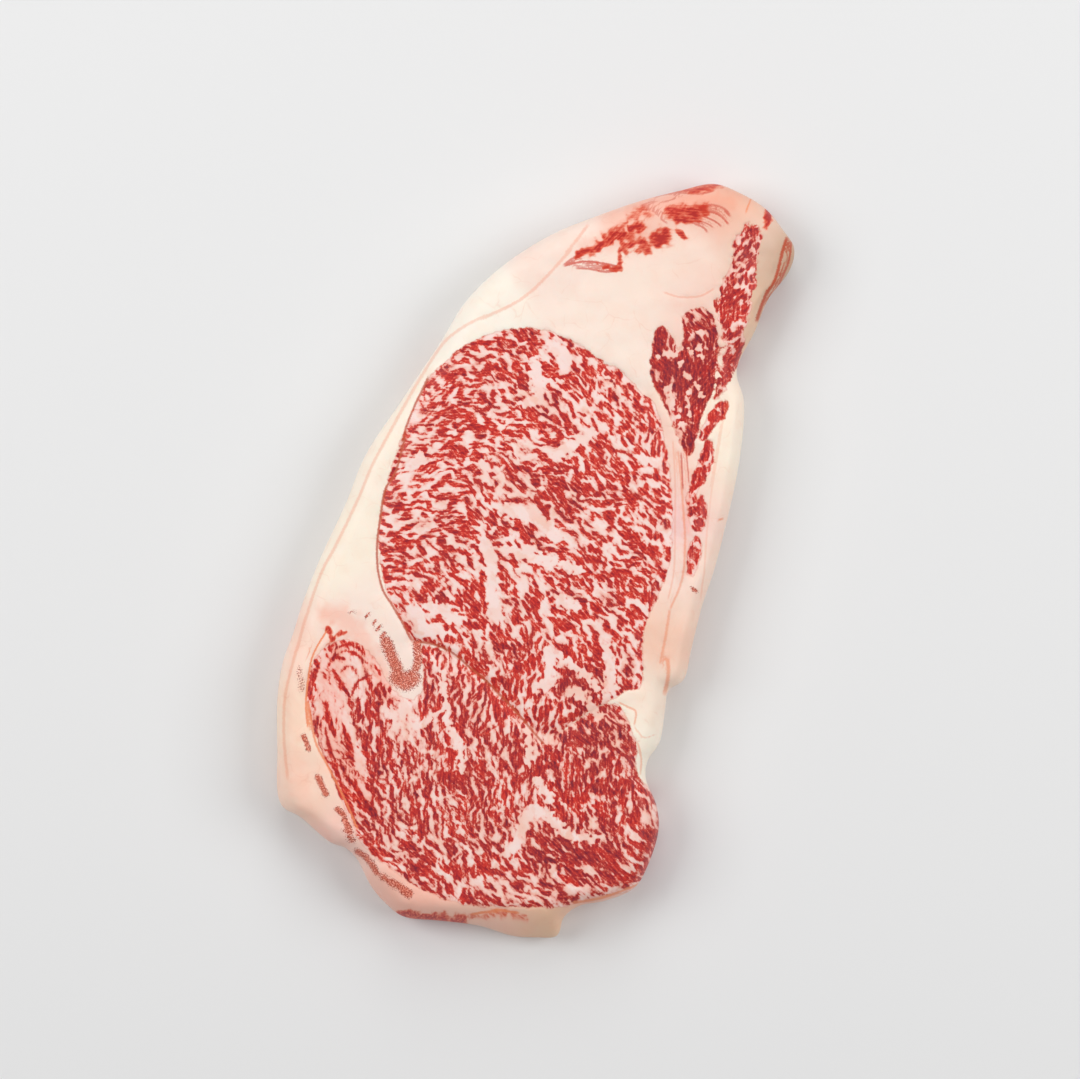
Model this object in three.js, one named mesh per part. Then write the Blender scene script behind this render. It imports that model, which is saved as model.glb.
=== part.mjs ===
// Raw sirloin steak: one slice across the loin, laid flat with its cut face up.
// Millimetres, +Z up. +X and +Y run across and along the slice, and the origin is
// on the surface that it rests on, under the middle of its outline's box.

import * as THREE from 'three';

// Driving dimensions.
const THICKNESS = 18;
const WAIST_SHARE = 0.45;
const TOP_EDGE_DEPTH = 7;
const BASE_EDGE_DEPTH = 4;
const EDGE_FULLNESS = 2.3;

// How finely the skin is divided: spacing round the rim, and rings on the side, face and base.
const POINT_SPACING = 3.4;
const BASE_EDGE_STEPS = 3;
const TOP_EDGE_STEPS = 5;
const FACE_RINGS = 15;
const BASE_RINGS = 3;

// The line through the middle of the slice that every ring closes in on.
const SPINE = new THREE.Line3(new THREE.Vector3(-22, -62, 0), new THREE.Vector3(38, 62, 0));
const INNERMOST_SHARE = 0.93;

// The outline where the slice is widest, seen from above, clockwise from the top.
const OUTLINE = [
  [18, 99], [29.5, 103], [41, 106], [50.5, 108], [58, 105.5], [65.5, 101],
  // The curled corner of the tail end.
  [71, 94.5], [74, 89.5], [72.5, 83], [66.5, 75],
  // The side that lay against the ribs.
  [62.5, 65.5], [58.5, 58], [57.5, 53], [59.5, 45.5], [59, 34.5], [57, 22],
  [54, 9], [51, -2.5], [47.5, -13], [44.5, -25], [42.5, -33.5],
  // The step down to the lower fat.
  [38, -37], [37, -42.5], [35.5, -51.5], [32, -57], [31.5, -62.5],
  // The round lean lobe.
  [34.5, -70], [35, -77.5], [32, -87], [28, -93.5], [20, -97], [12.5, -98.5],
  // The thin flap at the bottom.
  [8, -102], [6, -107.5], [0, -108], [-7, -107.5], [-16.5, -104.5], [-27.5, -103],
  [-37.5, -102], [-43, -98], [-47.5, -92.5], [-51, -85.5], [-54.5, -82],
  // The roll of back fat, and the long fat side up to the top.
  [-59.5, -80], [-67, -73.5], [-73.5, -68.5], [-74, -53.5], [-74, -39.5],
  [-72.5, -29], [-69.5, -20.5], [-66.5, -11], [-61.5, 1.5], [-54.5, 16.5],
  [-48.5, 31], [-38.5, 46], [-27.5, 62.5], [-20, 74.5], [-9, 85], [4.5, 93.5],
];

// Broad rises and falls of the cut face: middle, half-widths, turn in degrees and height.
const SWELLS = [
  // Rib-eye.
  { at: [-3, 22], half: [34, 40], turn: 0, rise: 0.9 },
  // Lower muscle.
  { at: [-16, -66], half: [42, 26], turn: -12, rise: 0.8 },
  // Lean lobe.
  { at: [27, -80], half: [9, 12], turn: 0, rise: 0.6 },
  // Back fat roll.
  { at: [-66, -52], half: [9, 26], turn: 6, rise: 0.5 },
  // Top fat.
  { at: [22, 78], half: [26, 13], turn: 32, rise: 0.5 },
  // Hollow of the rib side.
  { at: [46, 52], half: [9, 24], turn: -12, rise: -1.3 },
  // Hollow beside the fat tongue.
  { at: [-37, -30], half: [6, 9], turn: 20, rise: -1.1 },
  // Lower side fat.
  { at: [35, -47], half: [7, 12], turn: 0, rise: -1.6 },
  // Curled corner.
  { at: [74, 84], half: [11, 15], turn: -24, rise: -4.5 },
];

// Grooves where one muscle meets the next or the fat: width across and depth.
const SEAMS = [
  // Between rib-eye and lower muscle.
  {
    width: 2.6,
    depth: 0.9,
    path: [[-35, -23.5], [-28, -25.5], [-19, -31], [-10, -38], [-4, -45], [3, -49.5], [12, -46], [21, -42]],
  },
  // Left border of the rib-eye.
  {
    width: 2.4,
    depth: 0.5,
    path: [[-26, 58], [-36, 40], [-43, 22], [-45, 3], [-42, -8], [-35, -22]],
  },
  // Right border of the rib-eye.
  {
    width: 2.4,
    depth: 0.5,
    path: [[19, 56], [32, 48], [37, 33], [38.5, 9], [36, -6], [31, -18], [30, -34]],
  },
  // Outer fat strip of the rib side.
  {
    width: 2.2,
    depth: 0.9,
    path: [[56, 50], [52.5, 38], [50.5, 22], [47.5, 6], [42.5, -8], [38, -22], [36, -34]],
  },
];

// Places where the face falls away to the thin flap along the bottom and to its tip.
const FALLS = [
  // Bottom flap.
  { from: [-8, -96], towards: [0, -1], over: 14, drop: 9 },
  // Lower left foot.
  { from: [-44, -86], towards: [-0.7, -0.72], over: 16, drop: 4 },
];

/** Height of a round-topped rise at a point, which fades to nothing at its half-widths. */
function swellHeight(swell, x, y) {
  const turn = THREE.MathUtils.degToRad(swell.turn);
  const dx = x - swell.at[0];
  const dy = y - swell.at[1];
  const along = (dx * Math.cos(turn) + dy * Math.sin(turn)) / swell.half[0];
  const across = (dy * Math.cos(turn) - dx * Math.sin(turn)) / swell.half[1];
  return swell.rise * Math.exp(-(along * along + across * across));
}

/** Shortest distance from a point to a chain of straight stretches. */
function distanceToPath(path, x, y) {
  let nearest = Infinity;
  for (let i = 1; i < path.length; i += 1) {
    const [ax, ay] = path[i - 1];
    const [bx, by] = path[i];
    const length2 = (bx - ax) ** 2 + (by - ay) ** 2;
    const share = THREE.MathUtils.clamp(((x - ax) * (bx - ax) + (y - ay) * (by - ay)) / length2, 0, 1);
    const gap = Math.hypot(x - ax - share * (bx - ax), y - ay - share * (by - ay));
    nearest = Math.min(nearest, gap);
  }
  return nearest;
}

/** Depth of a rounded groove at a point. */
function seamDepth(seam, x, y) {
  const gap = distanceToPath(seam.path, x, y) / seam.width;
  return seam.depth * Math.exp(-gap * gap);
}

/** How far the face has dropped at a point past the start of a fall. */
function fallDepth(fall, x, y) {
  const past = (x - fall.from[0]) * fall.towards[0] + (y - fall.from[1]) * fall.towards[1];
  return fall.drop * THREE.MathUtils.smoothstep(past, 0, fall.over);
}

/** Thickness of the slice at a point of its outline or cut face. */
function thicknessAt(x, y) {
  let height = THICKNESS;
  for (const swell of SWELLS) {
    height += swellHeight(swell, x, y);
  }
  for (const seam of SEAMS) {
    height -= seamDepth(seam, x, y);
  }
  for (const fall of FALLS) {
    height -= fallDepth(fall, x, y);
  }
  return height;
}

/** Evenly spaced points of the outline. */
function outlinePoints() {
  const control = OUTLINE.map(([x, y]) => new THREE.Vector3(x, y, 0));
  const curve = new THREE.CatmullRomCurve3(control, true, 'centripetal');
  const count = Math.round(curve.getLength() / POINT_SPACING);
  const points = curve.getSpacedPoints(count).slice(0, count);
  return points.map((point) => new THREE.Vector2(point.x, point.y));
}

/** The point of the spine that a point of the outline closes in on. */
function spinePoint(x, y) {
  const nearest = SPINE.closestPointToPoint(new THREE.Vector3(x, y, 0), true, new THREE.Vector3());
  return new THREE.Vector2(nearest.x, nearest.y);
}

/** One ring of the rounded side: angle 0 is the waist, a quarter turn up the face, down the base. */
function sideRing(rimPoints, angle) {
  const power = 2 / EDGE_FULLNESS;
  const inset = 1 - Math.cos(angle) ** power;
  const rise = Math.sign(angle) * Math.abs(Math.sin(angle)) ** power;
  const depth = angle > 0 ? TOP_EDGE_DEPTH : BASE_EDGE_DEPTH;
  return rimPoints.map((rim) => {
    const inward = spinePoint(rim.x, rim.y).sub(rim).normalize();
    const place = rim.clone().addScaledVector(inward, depth * inset);
    const full = thicknessAt(place.x, place.y);
    const waist = WAIST_SHARE * full;
    const height = rise > 0 ? waist + (full - waist) * rise : waist * (1 + rise);
    return new THREE.Vector3(place.x, place.y, height);
  });
}

/** One ring of the face or the base: a share of the way from the edge ring to the spine. */
function flatRing(edgeRing, share, heightAt) {
  const innerLength = 2 * SPINE.distance();
  const edgeLength = edgeRing.length * POINT_SPACING;
  const count = Math.round(THREE.MathUtils.lerp(edgeLength, innerLength, share) / POINT_SPACING);
  const ring = [];
  for (let i = 0; i < count; i += 1) {
    const along = (i / count) * edgeRing.length;
    const before = edgeRing[Math.floor(along)];
    const after = edgeRing[(Math.floor(along) + 1) % edgeRing.length];
    const edge = before.clone().lerp(after, along % 1);
    const place = new THREE.Vector2(edge.x, edge.y).lerp(spinePoint(edge.x, edge.y), share);
    ring.push(new THREE.Vector3(place.x, place.y, heightAt(place.x, place.y)));
  }
  return ring;
}

/** Adds the band of triangles between two rings, the first being the lower or outer one. */
function joinRings(indices, outer, inner) {
  let i = 0;
  let j = 0;
  while (i < outer.count || j < inner.count) {
    const outerPoint = outer.start + (i % outer.count);
    const innerPoint = inner.start + (j % inner.count);
    const outerIsNext = (i + 1) / outer.count <= (j + 1) / inner.count;
    if (outerIsNext) {
      indices.push(outerPoint, innerPoint, outer.start + ((i + 1) % outer.count));
      i += 1;
    } else {
      indices.push(outerPoint, innerPoint, inner.start + ((j + 1) % inner.count));
      j += 1;
    }
  }
}

/** Closes the narrow innermost ring, which lies round the spine, facing up or down. */
function closeRing(indices, ring, start, facesUp) {
  const alongSpine = ring.map((point) => SPINE.closestPointToPointParameter(point.clone().setZ(0), false));
  const first = alongSpine.indexOf(Math.min(...alongSpine));
  const pointAt = (steps) => (first + steps + ring.length) % ring.length;
  let left = 0;
  let right = 0;
  while (right - left < ring.length - 1) {
    const leftIsNext = alongSpine[pointAt(left - 1)] < alongSpine[pointAt(right + 1)];
    const corner = leftIsNext ? pointAt(left - 1) : pointAt(right + 1);
    if (right > left) {
      const triangle = [start + pointAt(left), start + pointAt(right), start + corner];
      indices.push(...(facesUp ? triangle.reverse() : triangle));
    }
    left -= leftIsNext ? 1 : 0;
    right += leftIsNext ? 0 : 1;
  }
}

/** The closed skin of the slice, from the middle of its base round to the middle of its face. */
function steakGeometry() {
  const rimPoints = outlinePoints();
  const sideRings = [];
  for (let i = -BASE_EDGE_STEPS; i <= TOP_EDGE_STEPS; i += 1) {
    const steps = i < 0 ? BASE_EDGE_STEPS : TOP_EDGE_STEPS;
    sideRings.push(sideRing(rimPoints, (Math.PI / 2) * (i / steps)));
  }
  const baseEdge = sideRings[0];
  const faceEdge = sideRings[sideRings.length - 1];
  const rings = [];
  for (let i = BASE_RINGS; i > 0; i -= 1) {
    rings.push(flatRing(baseEdge, INNERMOST_SHARE * (i / BASE_RINGS), () => 0));
  }
  rings.push(...sideRings);
  for (let i = 1; i <= FACE_RINGS; i += 1) {
    rings.push(flatRing(faceEdge, INNERMOST_SHARE * (i / FACE_RINGS), thicknessAt));
  }

  const positions = [];
  const spans = rings.map((ring) => {
    const start = positions.length / 3;
    ring.forEach((point) => positions.push(point.x, point.y, point.z));
    return { start, count: ring.length };
  });

  const indices = [];
  const last = rings.length - 1;
  closeRing(indices, rings[0], spans[0].start, false);
  for (let i = 1; i <= last; i += 1) {
    joinRings(indices, spans[i - 1], spans[i]);
  }
  closeRing(indices, rings[last], spans[last].start, true);

  const geometry = new THREE.BufferGeometry();
  geometry.setAttribute('position', new THREE.Float32BufferAttribute(positions, 3));
  geometry.setIndex(indices);
  geometry.computeBoundingBox();
  const middle = geometry.boundingBox.getCenter(new THREE.Vector3());
  geometry.translate(-middle.x, -middle.y, 0);
  geometry.computeVertexNormals();
  return geometry;
}

/** Damp raw beef, between the red of its lean and the cream of its fat. */
function beefMaterial() {
  return new THREE.MeshStandardMaterial({ color: 0xe39a8c, roughness: 0.4, metalness: 0 });
}

const steak = new THREE.Mesh(steakGeometry(), beefMaterial());
steak.name = 'steak';

const group = new THREE.Group();
group.add(steak);

export default group;
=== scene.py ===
"""Raw sirloin steak: one thick marbled slice, seen from straight above on a pale floor.

The slice is one closed piece. Its form repeats the driving sizes of the solid that it stands for, and its
cut face carries what a butcher would point at: the rib-eye, the muscle below it, the small muscles of the
rib side and of the tail end, the marbling that runs along each muscle's fibres, the fat round them, and the
thin skins between them. Places that were read off the reference picture are kept in its pixels, under names
that end in PX, and PICTURE turns them into millimetres. Every size is in millimetres.
"""

from __future__ import annotations

import logging
import math
from collections.abc import Callable, Iterator, Sequence
from dataclasses import dataclass, field, fields
from enum import Enum

import bpy
import numpy as np
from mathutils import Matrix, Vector
from mathutils.geometry import delaunay_2d_cdt


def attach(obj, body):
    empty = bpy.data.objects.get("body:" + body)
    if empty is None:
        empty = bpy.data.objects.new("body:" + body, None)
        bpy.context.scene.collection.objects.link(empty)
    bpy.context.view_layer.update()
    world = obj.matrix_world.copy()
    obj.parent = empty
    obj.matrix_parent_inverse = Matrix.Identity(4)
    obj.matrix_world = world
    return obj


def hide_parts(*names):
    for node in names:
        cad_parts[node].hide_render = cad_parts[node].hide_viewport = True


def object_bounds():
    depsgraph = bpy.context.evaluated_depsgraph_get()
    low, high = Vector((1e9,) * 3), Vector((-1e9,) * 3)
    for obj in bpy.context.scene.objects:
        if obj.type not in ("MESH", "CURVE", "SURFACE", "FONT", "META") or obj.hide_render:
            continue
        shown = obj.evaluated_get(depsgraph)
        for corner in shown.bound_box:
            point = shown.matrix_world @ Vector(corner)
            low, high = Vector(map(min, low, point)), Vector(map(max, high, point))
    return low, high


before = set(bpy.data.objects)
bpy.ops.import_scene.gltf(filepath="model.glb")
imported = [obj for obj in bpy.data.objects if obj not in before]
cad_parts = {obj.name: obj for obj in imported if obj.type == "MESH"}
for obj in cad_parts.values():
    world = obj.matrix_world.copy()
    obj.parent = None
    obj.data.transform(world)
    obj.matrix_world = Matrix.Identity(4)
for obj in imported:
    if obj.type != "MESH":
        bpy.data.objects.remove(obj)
CAD_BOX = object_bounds()

MM = 0.001
NODE = "steak"
BODY = "root"
MAP_NAME = "OFBake"

# Sockets of a Mix node that mixes colours.
MIX_A = 6
MIX_B = 7
MIX_RESULT = 2

# What brings the level of a noise node, about 0, to a spread of about 1.
NOISE_GAIN = 4.0

# Points of a curve between two of its control points.
CURVE_STEPS = 6

# A quarter turn, from the waist of the slice up to its face.
QUARTER = math.pi / 2

# Patterns that the looks read from the piece.
LOOKS = ("lean_mm", "fleck_mm", "fibre_cos", "fibre_sin", "tone", "veil", "blush", "stain", "sinew",
         "sinew_side", "fascia", "fascia_side", "thread", "thread_side")
FAT_COLOUR = ("fat_red", "fat_green", "fat_blue")

Point = tuple[float, float]
Chain = list[Point]
Stops = tuple[tuple[float, str], ...]
Tree = bpy.types.NodeTree
Node = bpy.types.Node
Socket = bpy.types.NodeSocket

log = logging.getLogger("steak")


@dataclass(frozen=True)
class Picture:
    """The reference picture's frame and how it lies on the slice."""

    width_px: int = 1080
    height_px: int = 1079
    mm_per_px: float = 0.284
    origin_px: Point = (536.0, 561.5)

    def to_mm(self, points: Chain) -> np.ndarray:
        """Turns places in the picture into places on the slice.

        Args:
            points: places in the picture's pixels, down from its top left corner.

        Returns:
            One row (x, y) in millimetres for each place.
        """
        return (np.array(points, float) - self.origin_px) * (self.mm_per_px, -self.mm_per_px)


PICTURE = Picture()


def smoothstep(low: float, high: float, value: np.ndarray) -> np.ndarray:
    """Rises smoothly from 0 at low to 1 at high, or falls where low is above high."""
    share = np.clip((value - low) / (high - low), 0, 1)
    return share * share * (3 - 2 * share)


def rounded(points: np.ndarray, per_span: int, closed: bool) -> np.ndarray:
    """Draws a smooth curve through control points.

    Args:
        points: the control points, one row (x, y) each.
        per_span: how many points to make between two control points.
        closed: whether the curve comes back to its start.

    Returns:
        The points of the curve.
    """
    if closed:
        before, after, ahead = np.roll(points, 1, 0), np.roll(points, -1, 0), np.roll(points, -2, 0)
        start = points
    else:
        padded = np.vstack([2 * points[0] - points[1], points, 2 * points[-1] - points[-2]])
        before, start, after, ahead = padded[:-3], padded[1:-2], padded[2:-1], padded[3:]
    t = np.linspace(0, 1, per_span, endpoint=False)[None, :, None]
    p0, p1, p2, p3 = (p[:, None, :] for p in (before, start, after, ahead))
    curve = 0.5 * (
        2 * p1 + (p2 - p0) * t + (2 * p0 - 5 * p1 + 4 * p2 - p3) * t**2 + (3 * p1 - p0 - 3 * p2 + p3) * t**3
    )
    curve = curve.reshape(-1, 2)
    return curve if closed else np.vstack([curve, points[-1:]])


def even_steps(curve: np.ndarray, spacing: float) -> np.ndarray:
    """Places points at even steps round a closed curve.

    Args:
        curve: the points of the closed curve.
        spacing: the wanted step in millimetres.

    Returns:
        The evenly spaced points.
    """
    ends = np.vstack([curve, curve[:1]])
    travelled = np.concatenate([[0.0], np.cumsum(np.hypot(*np.diff(ends, axis=0).T))])
    count = int(round(travelled[-1] / spacing))
    places = np.linspace(0, travelled[-1], count, endpoint=False)
    return np.stack([np.interp(places, travelled, ends[:, axis]) for axis in range(2)], axis=1)


def distance_to_chain(x: np.ndarray, y: np.ndarray, chain: np.ndarray, closed: bool) -> np.ndarray:
    """Measures how far places lie from a chain of straight stretches, and on which side.

    Args:
        x: the places' x.
        y: the places' y.
        chain: the corners of the chain.
        closed: whether the chain is the border of an area.

    Returns:
        The distances, negative inside a closed chain or to the right of an open one.
    """
    nearest = np.full(x.shape, np.inf)
    negative = np.zeros(x.shape, bool)
    starts = chain if closed else chain[:-1]
    ends = np.roll(chain, -1, axis=0) if closed else chain[1:]
    for (ax, ay), (bx, by) in zip(starts, ends):
        dx, dy = bx - ax, by - ay
        share = np.clip(((x - ax) * dx + (y - ay) * dy) / (dx * dx + dy * dy + 1e-12), 0, 1)
        gap = (x - ax - share * dx) ** 2 + (y - ay - share * dy) ** 2
        if not closed:
            negative = np.where(gap < nearest, dx * (y - ay) < dy * (x - ax), negative)
        elif dy != 0:
            negative ^= ((ay > y) != (by > y)) & (x < ax + (y - ay) * dx / dy)
        nearest = np.minimum(nearest, gap)
    nearest = np.sqrt(nearest)
    return np.where(negative, -nearest, nearest)


@dataclass(frozen=True)
class Swell:
    """A broad rise or hollow of the cut face."""

    at: Point
    half: Point
    turn_deg: float
    rise: float

    def height(self, x: np.ndarray, y: np.ndarray) -> np.ndarray:
        """How much the face rises at places on it."""
        turn = math.radians(self.turn_deg)
        dx, dy = x - self.at[0], y - self.at[1]
        along = (dx * math.cos(turn) + dy * math.sin(turn)) / self.half[0]
        across = (dy * math.cos(turn) - dx * math.sin(turn)) / self.half[1]
        return self.rise * np.exp(-(along**2 + across**2))


@dataclass(frozen=True)
class Seam:
    """A groove where one muscle meets the next or the fat."""

    width: float
    depth: float
    path: Chain

    def height(self, x: np.ndarray, y: np.ndarray) -> np.ndarray:
        """How much the face sinks at places on it, as a negative rise."""
        gap = distance_to_chain(x, y, np.array(self.path), closed=False) / self.width
        return -self.depth * np.exp(-gap * gap)


@dataclass(frozen=True)
class Fall:
    """A stretch where the face falls away to a thin flap."""

    start: Point
    towards: Point
    over: float
    drop: float

    def height(self, x: np.ndarray, y: np.ndarray) -> np.ndarray:
        """How much the face sinks at places on it, as a negative rise."""
        past = (x - self.start[0]) * self.towards[0] + (y - self.start[1]) * self.towards[1]
        return -self.drop * smoothstep(0, self.over, past)


@dataclass(frozen=True)
class SliceForm:
    """The slice's outline, thickness and rounded side, with the sizes of the solid that it stands for."""

    thickness: float = 18.0
    waist_share: float = 0.45
    top_edge_depth: float = 7.0
    base_edge_depth: float = 4.0
    edge_fullness: float = 2.3
    spine: tuple[Point, Point] = ((-22.0, -62.0), (38.0, 62.0))
    # Clockwise from the top: tail end, rib side, lower fat, lean lobe, bottom flap, back fat.
    outline: tuple[Point, ...] = (
        (18, 99), (29.5, 103), (41, 106), (50.5, 108), (58, 105.5), (65.5, 101), (71, 94.5), (74, 89.5),
        (72.5, 83), (66.5, 75), (62.5, 65.5), (58.5, 58), (57.5, 53), (59.5, 45.5), (59, 34.5), (57, 22),
        (54, 9), (51, -2.5), (47.5, -13), (44.5, -25), (42.5, -33.5), (38, -37), (37, -42.5), (35.5, -51.5),
        (32, -57), (31.5, -62.5), (34.5, -70), (35, -77.5), (32, -87), (28, -93.5), (20, -97), (12.5, -98.5),
        (8, -102), (6, -107.5), (0, -108), (-7, -107.5), (-16.5, -104.5), (-27.5, -103), (-37.5, -102),
        (-43, -98), (-47.5, -92.5), (-51, -85.5), (-54.5, -82), (-59.5, -80), (-67, -73.5), (-73.5, -68.5),
        (-74, -53.5), (-74, -39.5), (-72.5, -29), (-69.5, -20.5), (-66.5, -11), (-61.5, 1.5), (-54.5, 16.5),
        (-48.5, 31), (-38.5, 46), (-27.5, 62.5), (-20, 74.5), (-9, 85), (4.5, 93.5),
    )
    # Rib-eye, lower muscle, lobe, back fat roll, top fat, rib side, beside the tongue, lower fat, corner.
    swells: tuple[Swell, ...] = (
        Swell((-3, 22), (34, 40), 0, 0.9), Swell((-16, -66), (42, 26), -12, 0.8),
        Swell((27, -80), (9, 12), 0, 0.6), Swell((-66, -52), (9, 26), 6, 0.5),
        Swell((22, 78), (26, 13), 32, 0.5), Swell((46, 52), (9, 24), -12, -1.3),
        Swell((-37, -30), (6, 9), 20, -1.1), Swell((35, -47), (7, 12), 0, -1.6),
        Swell((74, 84), (11, 15), -24, -4.5),
    )
    # Between rib-eye and lower muscle, the rib-eye's left and right borders, the rib side's fat strip.
    seams: tuple[Seam, ...] = (
        Seam(2.6, 0.9, [(-35, -23.5), (-28, -25.5), (-19, -31), (-10, -38), (-4, -45), (3, -49.5), (12, -46),
                        (21, -42)]),
        Seam(2.4, 0.5, [(-26, 58), (-36, 40), (-43, 22), (-45, 3), (-42, -8), (-35, -22)]),
        Seam(2.4, 0.5, [(19, 56), (32, 48), (37, 33), (38.5, 9), (36, -6), (31, -18), (30, -34)]),
        Seam(2.2, 0.9, [(56, 50), (52.5, 38), (50.5, 22), (47.5, 6), (42.5, -8), (38, -22), (36, -34)]),
    )
    # The bottom flap and the lower left foot.
    falls: tuple[Fall, ...] = (Fall((-8, -96), (0, -1), 14, 9), Fall((-44, -86), (-0.7, -0.72), 16, 4))

    def height(self, x: np.ndarray, y: np.ndarray) -> np.ndarray:
        """Thickness of the slice at places on it."""
        total = np.full(np.shape(x), self.thickness)
        for part in (*self.swells, *self.seams, *self.falls):
            total = total + part.height(x, y)
        return total

    def rim(self, spacing: float) -> np.ndarray:
        """Evenly spaced points of the outline where the slice is widest, clockwise from above."""
        return even_steps(rounded(np.array(self.outline, float), 16, closed=True), spacing)

    def inward(self, rim: np.ndarray) -> np.ndarray:
        """Unit directions from points of the rim to the nearest points of the spine.

        Args:
            rim: the points of the rim.

        Returns:
            One unit direction for each point.
        """
        start, end = np.array(self.spine)
        line = end - start
        share = np.clip((rim - start) @ line / (line @ line), 0, 1)
        towards = start + share[:, None] * line - rim
        return towards / np.hypot(*towards.T)[:, None]

    def side_row(self, rim: np.ndarray, angle: float) -> np.ndarray:
        """One row of the rounded side.

        Args:
            rim: the points of the rim.
            angle: 0 at the waist, a quarter turn up at the face and down at the base.

        Returns:
            One row (x, y, z) for each point of the rim.
        """
        power = 2 / self.edge_fullness
        inset = 1 - max(math.cos(angle), 0.0) ** power
        rise = math.copysign(abs(math.sin(angle)) ** power, angle)
        depth = self.top_edge_depth if angle > 0 else self.base_edge_depth
        place = rim + self.inward(rim) * depth * inset
        full = self.height(place[:, 0], place[:, 1])
        waist = self.waist_share * full
        height = waist + (full - waist) * rise if rise > 0 else waist * (1 + rise)
        return np.column_stack([place, height])


class Raster:
    """A fine square grid over the cut face, with the noise and the smoothing that its patterns need."""

    pitch: float = 0.25
    coarse: int = 4
    half_width: float = 78.0
    half_length: float = 112.0
    noise_cut: float = 3.0

    def __init__(self, seed: int) -> None:
        """Lays out the grid.

        Args:
            seed: the seed of every random draw.
        """
        self.columns = int(2 * self.half_width / self.pitch)
        self.rows = int(2 * self.half_length / self.pitch)
        self.xs = -self.half_width + self.pitch * (np.arange(self.columns) + 0.5)
        self.ys = -self.half_length + self.pitch * (np.arange(self.rows) + 0.5)
        self.random = np.random.default_rng(seed)
        self.frequency = np.hypot(
            np.fft.rfftfreq(self.columns, self.pitch)[None, :], np.fft.fftfreq(self.rows, self.pitch)[:, None]
        )

    def sample(self, values: np.ndarray, column: np.ndarray, row: np.ndarray) -> np.ndarray:
        """Reads a grid between its points."""
        rows, columns = values.shape
        column = np.clip(column, 0, columns - 1.001)
        row = np.clip(row, 0, rows - 1.001)
        i, j = row.astype(int), column.astype(int)
        down, right = row - i, column - j
        upper = values[i, j] * (1 - right) + values[i, j + 1] * right
        lower = values[i + 1, j] * (1 - right) + values[i + 1, j + 1] * right
        return upper * (1 - down) + lower * down

    def at(self, values: np.ndarray, x: np.ndarray, y: np.ndarray) -> np.ndarray:
        """Reads a grid at places on the slice, in millimetres."""
        return self.sample(
            values, (x + self.half_width) / self.pitch - 0.5, (y + self.half_length) / self.pitch - 0.5
        )

    def from_coarse(self, measure: Callable[[np.ndarray, np.ndarray], np.ndarray]) -> np.ndarray:
        """Works a smooth quantity out on a coarser grid and spreads it over the fine one.

        Args:
            measure: a function of the places' x and y that gives one value for each.

        Returns:
            The quantity on the fine grid.
        """
        x, y = np.meshgrid(
            self.xs.reshape(-1, self.coarse).mean(1), self.ys.reshape(-1, self.coarse).mean(1)
        )
        column, row = np.meshgrid(
            *((np.arange(count) + 0.5) / self.coarse - 0.5 for count in (self.columns, self.rows))
        )
        return self.sample(measure(x, y), column, row)

    def blended(self, places: np.ndarray, values: Sequence[float], reach: float, far: float,
                far_reach: float) -> np.ndarray:
        """Spreads values from single places over the grid.

        Args:
            places: one row (x, y) for each value.
            values: the values.
            reach: how far around its place each one holds.
            far: the weight that it has beyond that.
            far_reach: how far out that weight has halved.

        Returns:
            The values on the grid.
        """

        def blend(x: np.ndarray, y: np.ndarray) -> np.ndarray:
            total = np.zeros_like(x)
            weights = np.zeros_like(x)
            for (px, py), value in zip(places, values):
                gap = (x - px) ** 2 + (y - py) ** 2
                weight = np.exp(-0.5 * gap / reach**2) + far / (1 + gap / far_reach**2)
                total += weight * value
                weights += weight
            return total / weights

        return self.from_coarse(blend)

    def blur(self, values: np.ndarray, sigma: float) -> np.ndarray:
        """Smooths a grid with a bell curve of that half-width."""
        kept = np.exp(-2 * (np.pi * self.frequency * sigma) ** 2)
        return np.fft.irfft2(np.fft.rfft2(values) * kept, s=values.shape)

    def soft_noise(self, sigma: float) -> np.ndarray:
        """Random blotches about four times sigma apart, with unit spread."""
        noise = self.blur(self.random.standard_normal((self.rows, self.columns)), sigma)
        noise /= noise.std()
        noise -= self.blur(noise, sigma * self.noise_cut)
        return noise / noise.std()

    def plan(self) -> tuple[np.ndarray, np.ndarray]:
        """The x and the y of every place of the grid."""
        return np.meshgrid(self.xs, self.ys)

    def cell(self, x: np.ndarray, y: np.ndarray) -> tuple[np.ndarray, np.ndarray]:
        """The grid's row and column that hold places on the slice."""
        row = ((y + self.half_length) / self.pitch).astype(int)
        column = ((x + self.half_width) / self.pitch).astype(int)
        return row, column

    def inside_mm(self, border: np.ndarray) -> np.ndarray:
        """How deep each place lies inside a closed border, negative outside."""
        return -self.from_coarse(lambda x, y: distance_to_chain(x, y, border, closed=True))

    def beside(self, line: np.ndarray, reach: float) -> tuple[tuple[slice, slice], np.ndarray]:
        """How far the places round an open line lie from it.

        Args:
            line: the points of the line.
            reach: how far out to look.

        Returns:
            The window of the grid that holds those places, and their distances, negative on the line's right.
        """
        (top, bottom), (left, right) = self.cell(*np.array([line.min(0) - reach, line.max(0) + reach]).T)
        window = np.s_[max(top, 0) : bottom, max(left, 0) : right]
        x, y = np.meshgrid(self.xs[window[1]], self.ys[window[0]])
        return window, distance_to_chain(x, y, line, closed=False)


class Trait(Enum):
    """What sets one patch of the lean apart from the rest."""

    FINE = "smaller flecks"
    SOLID = "more lean than fat"
    DARK = "darker, bluer red"
    PALE = "more fat than lean"
    LONG = "longer flecks, a little larger"


@dataclass(frozen=True)
class Patch:
    """A soft round patch of the lean with a trait of its own."""

    trait: Trait
    centre_px: Point
    radius: float
    strength: float = 1.0


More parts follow.
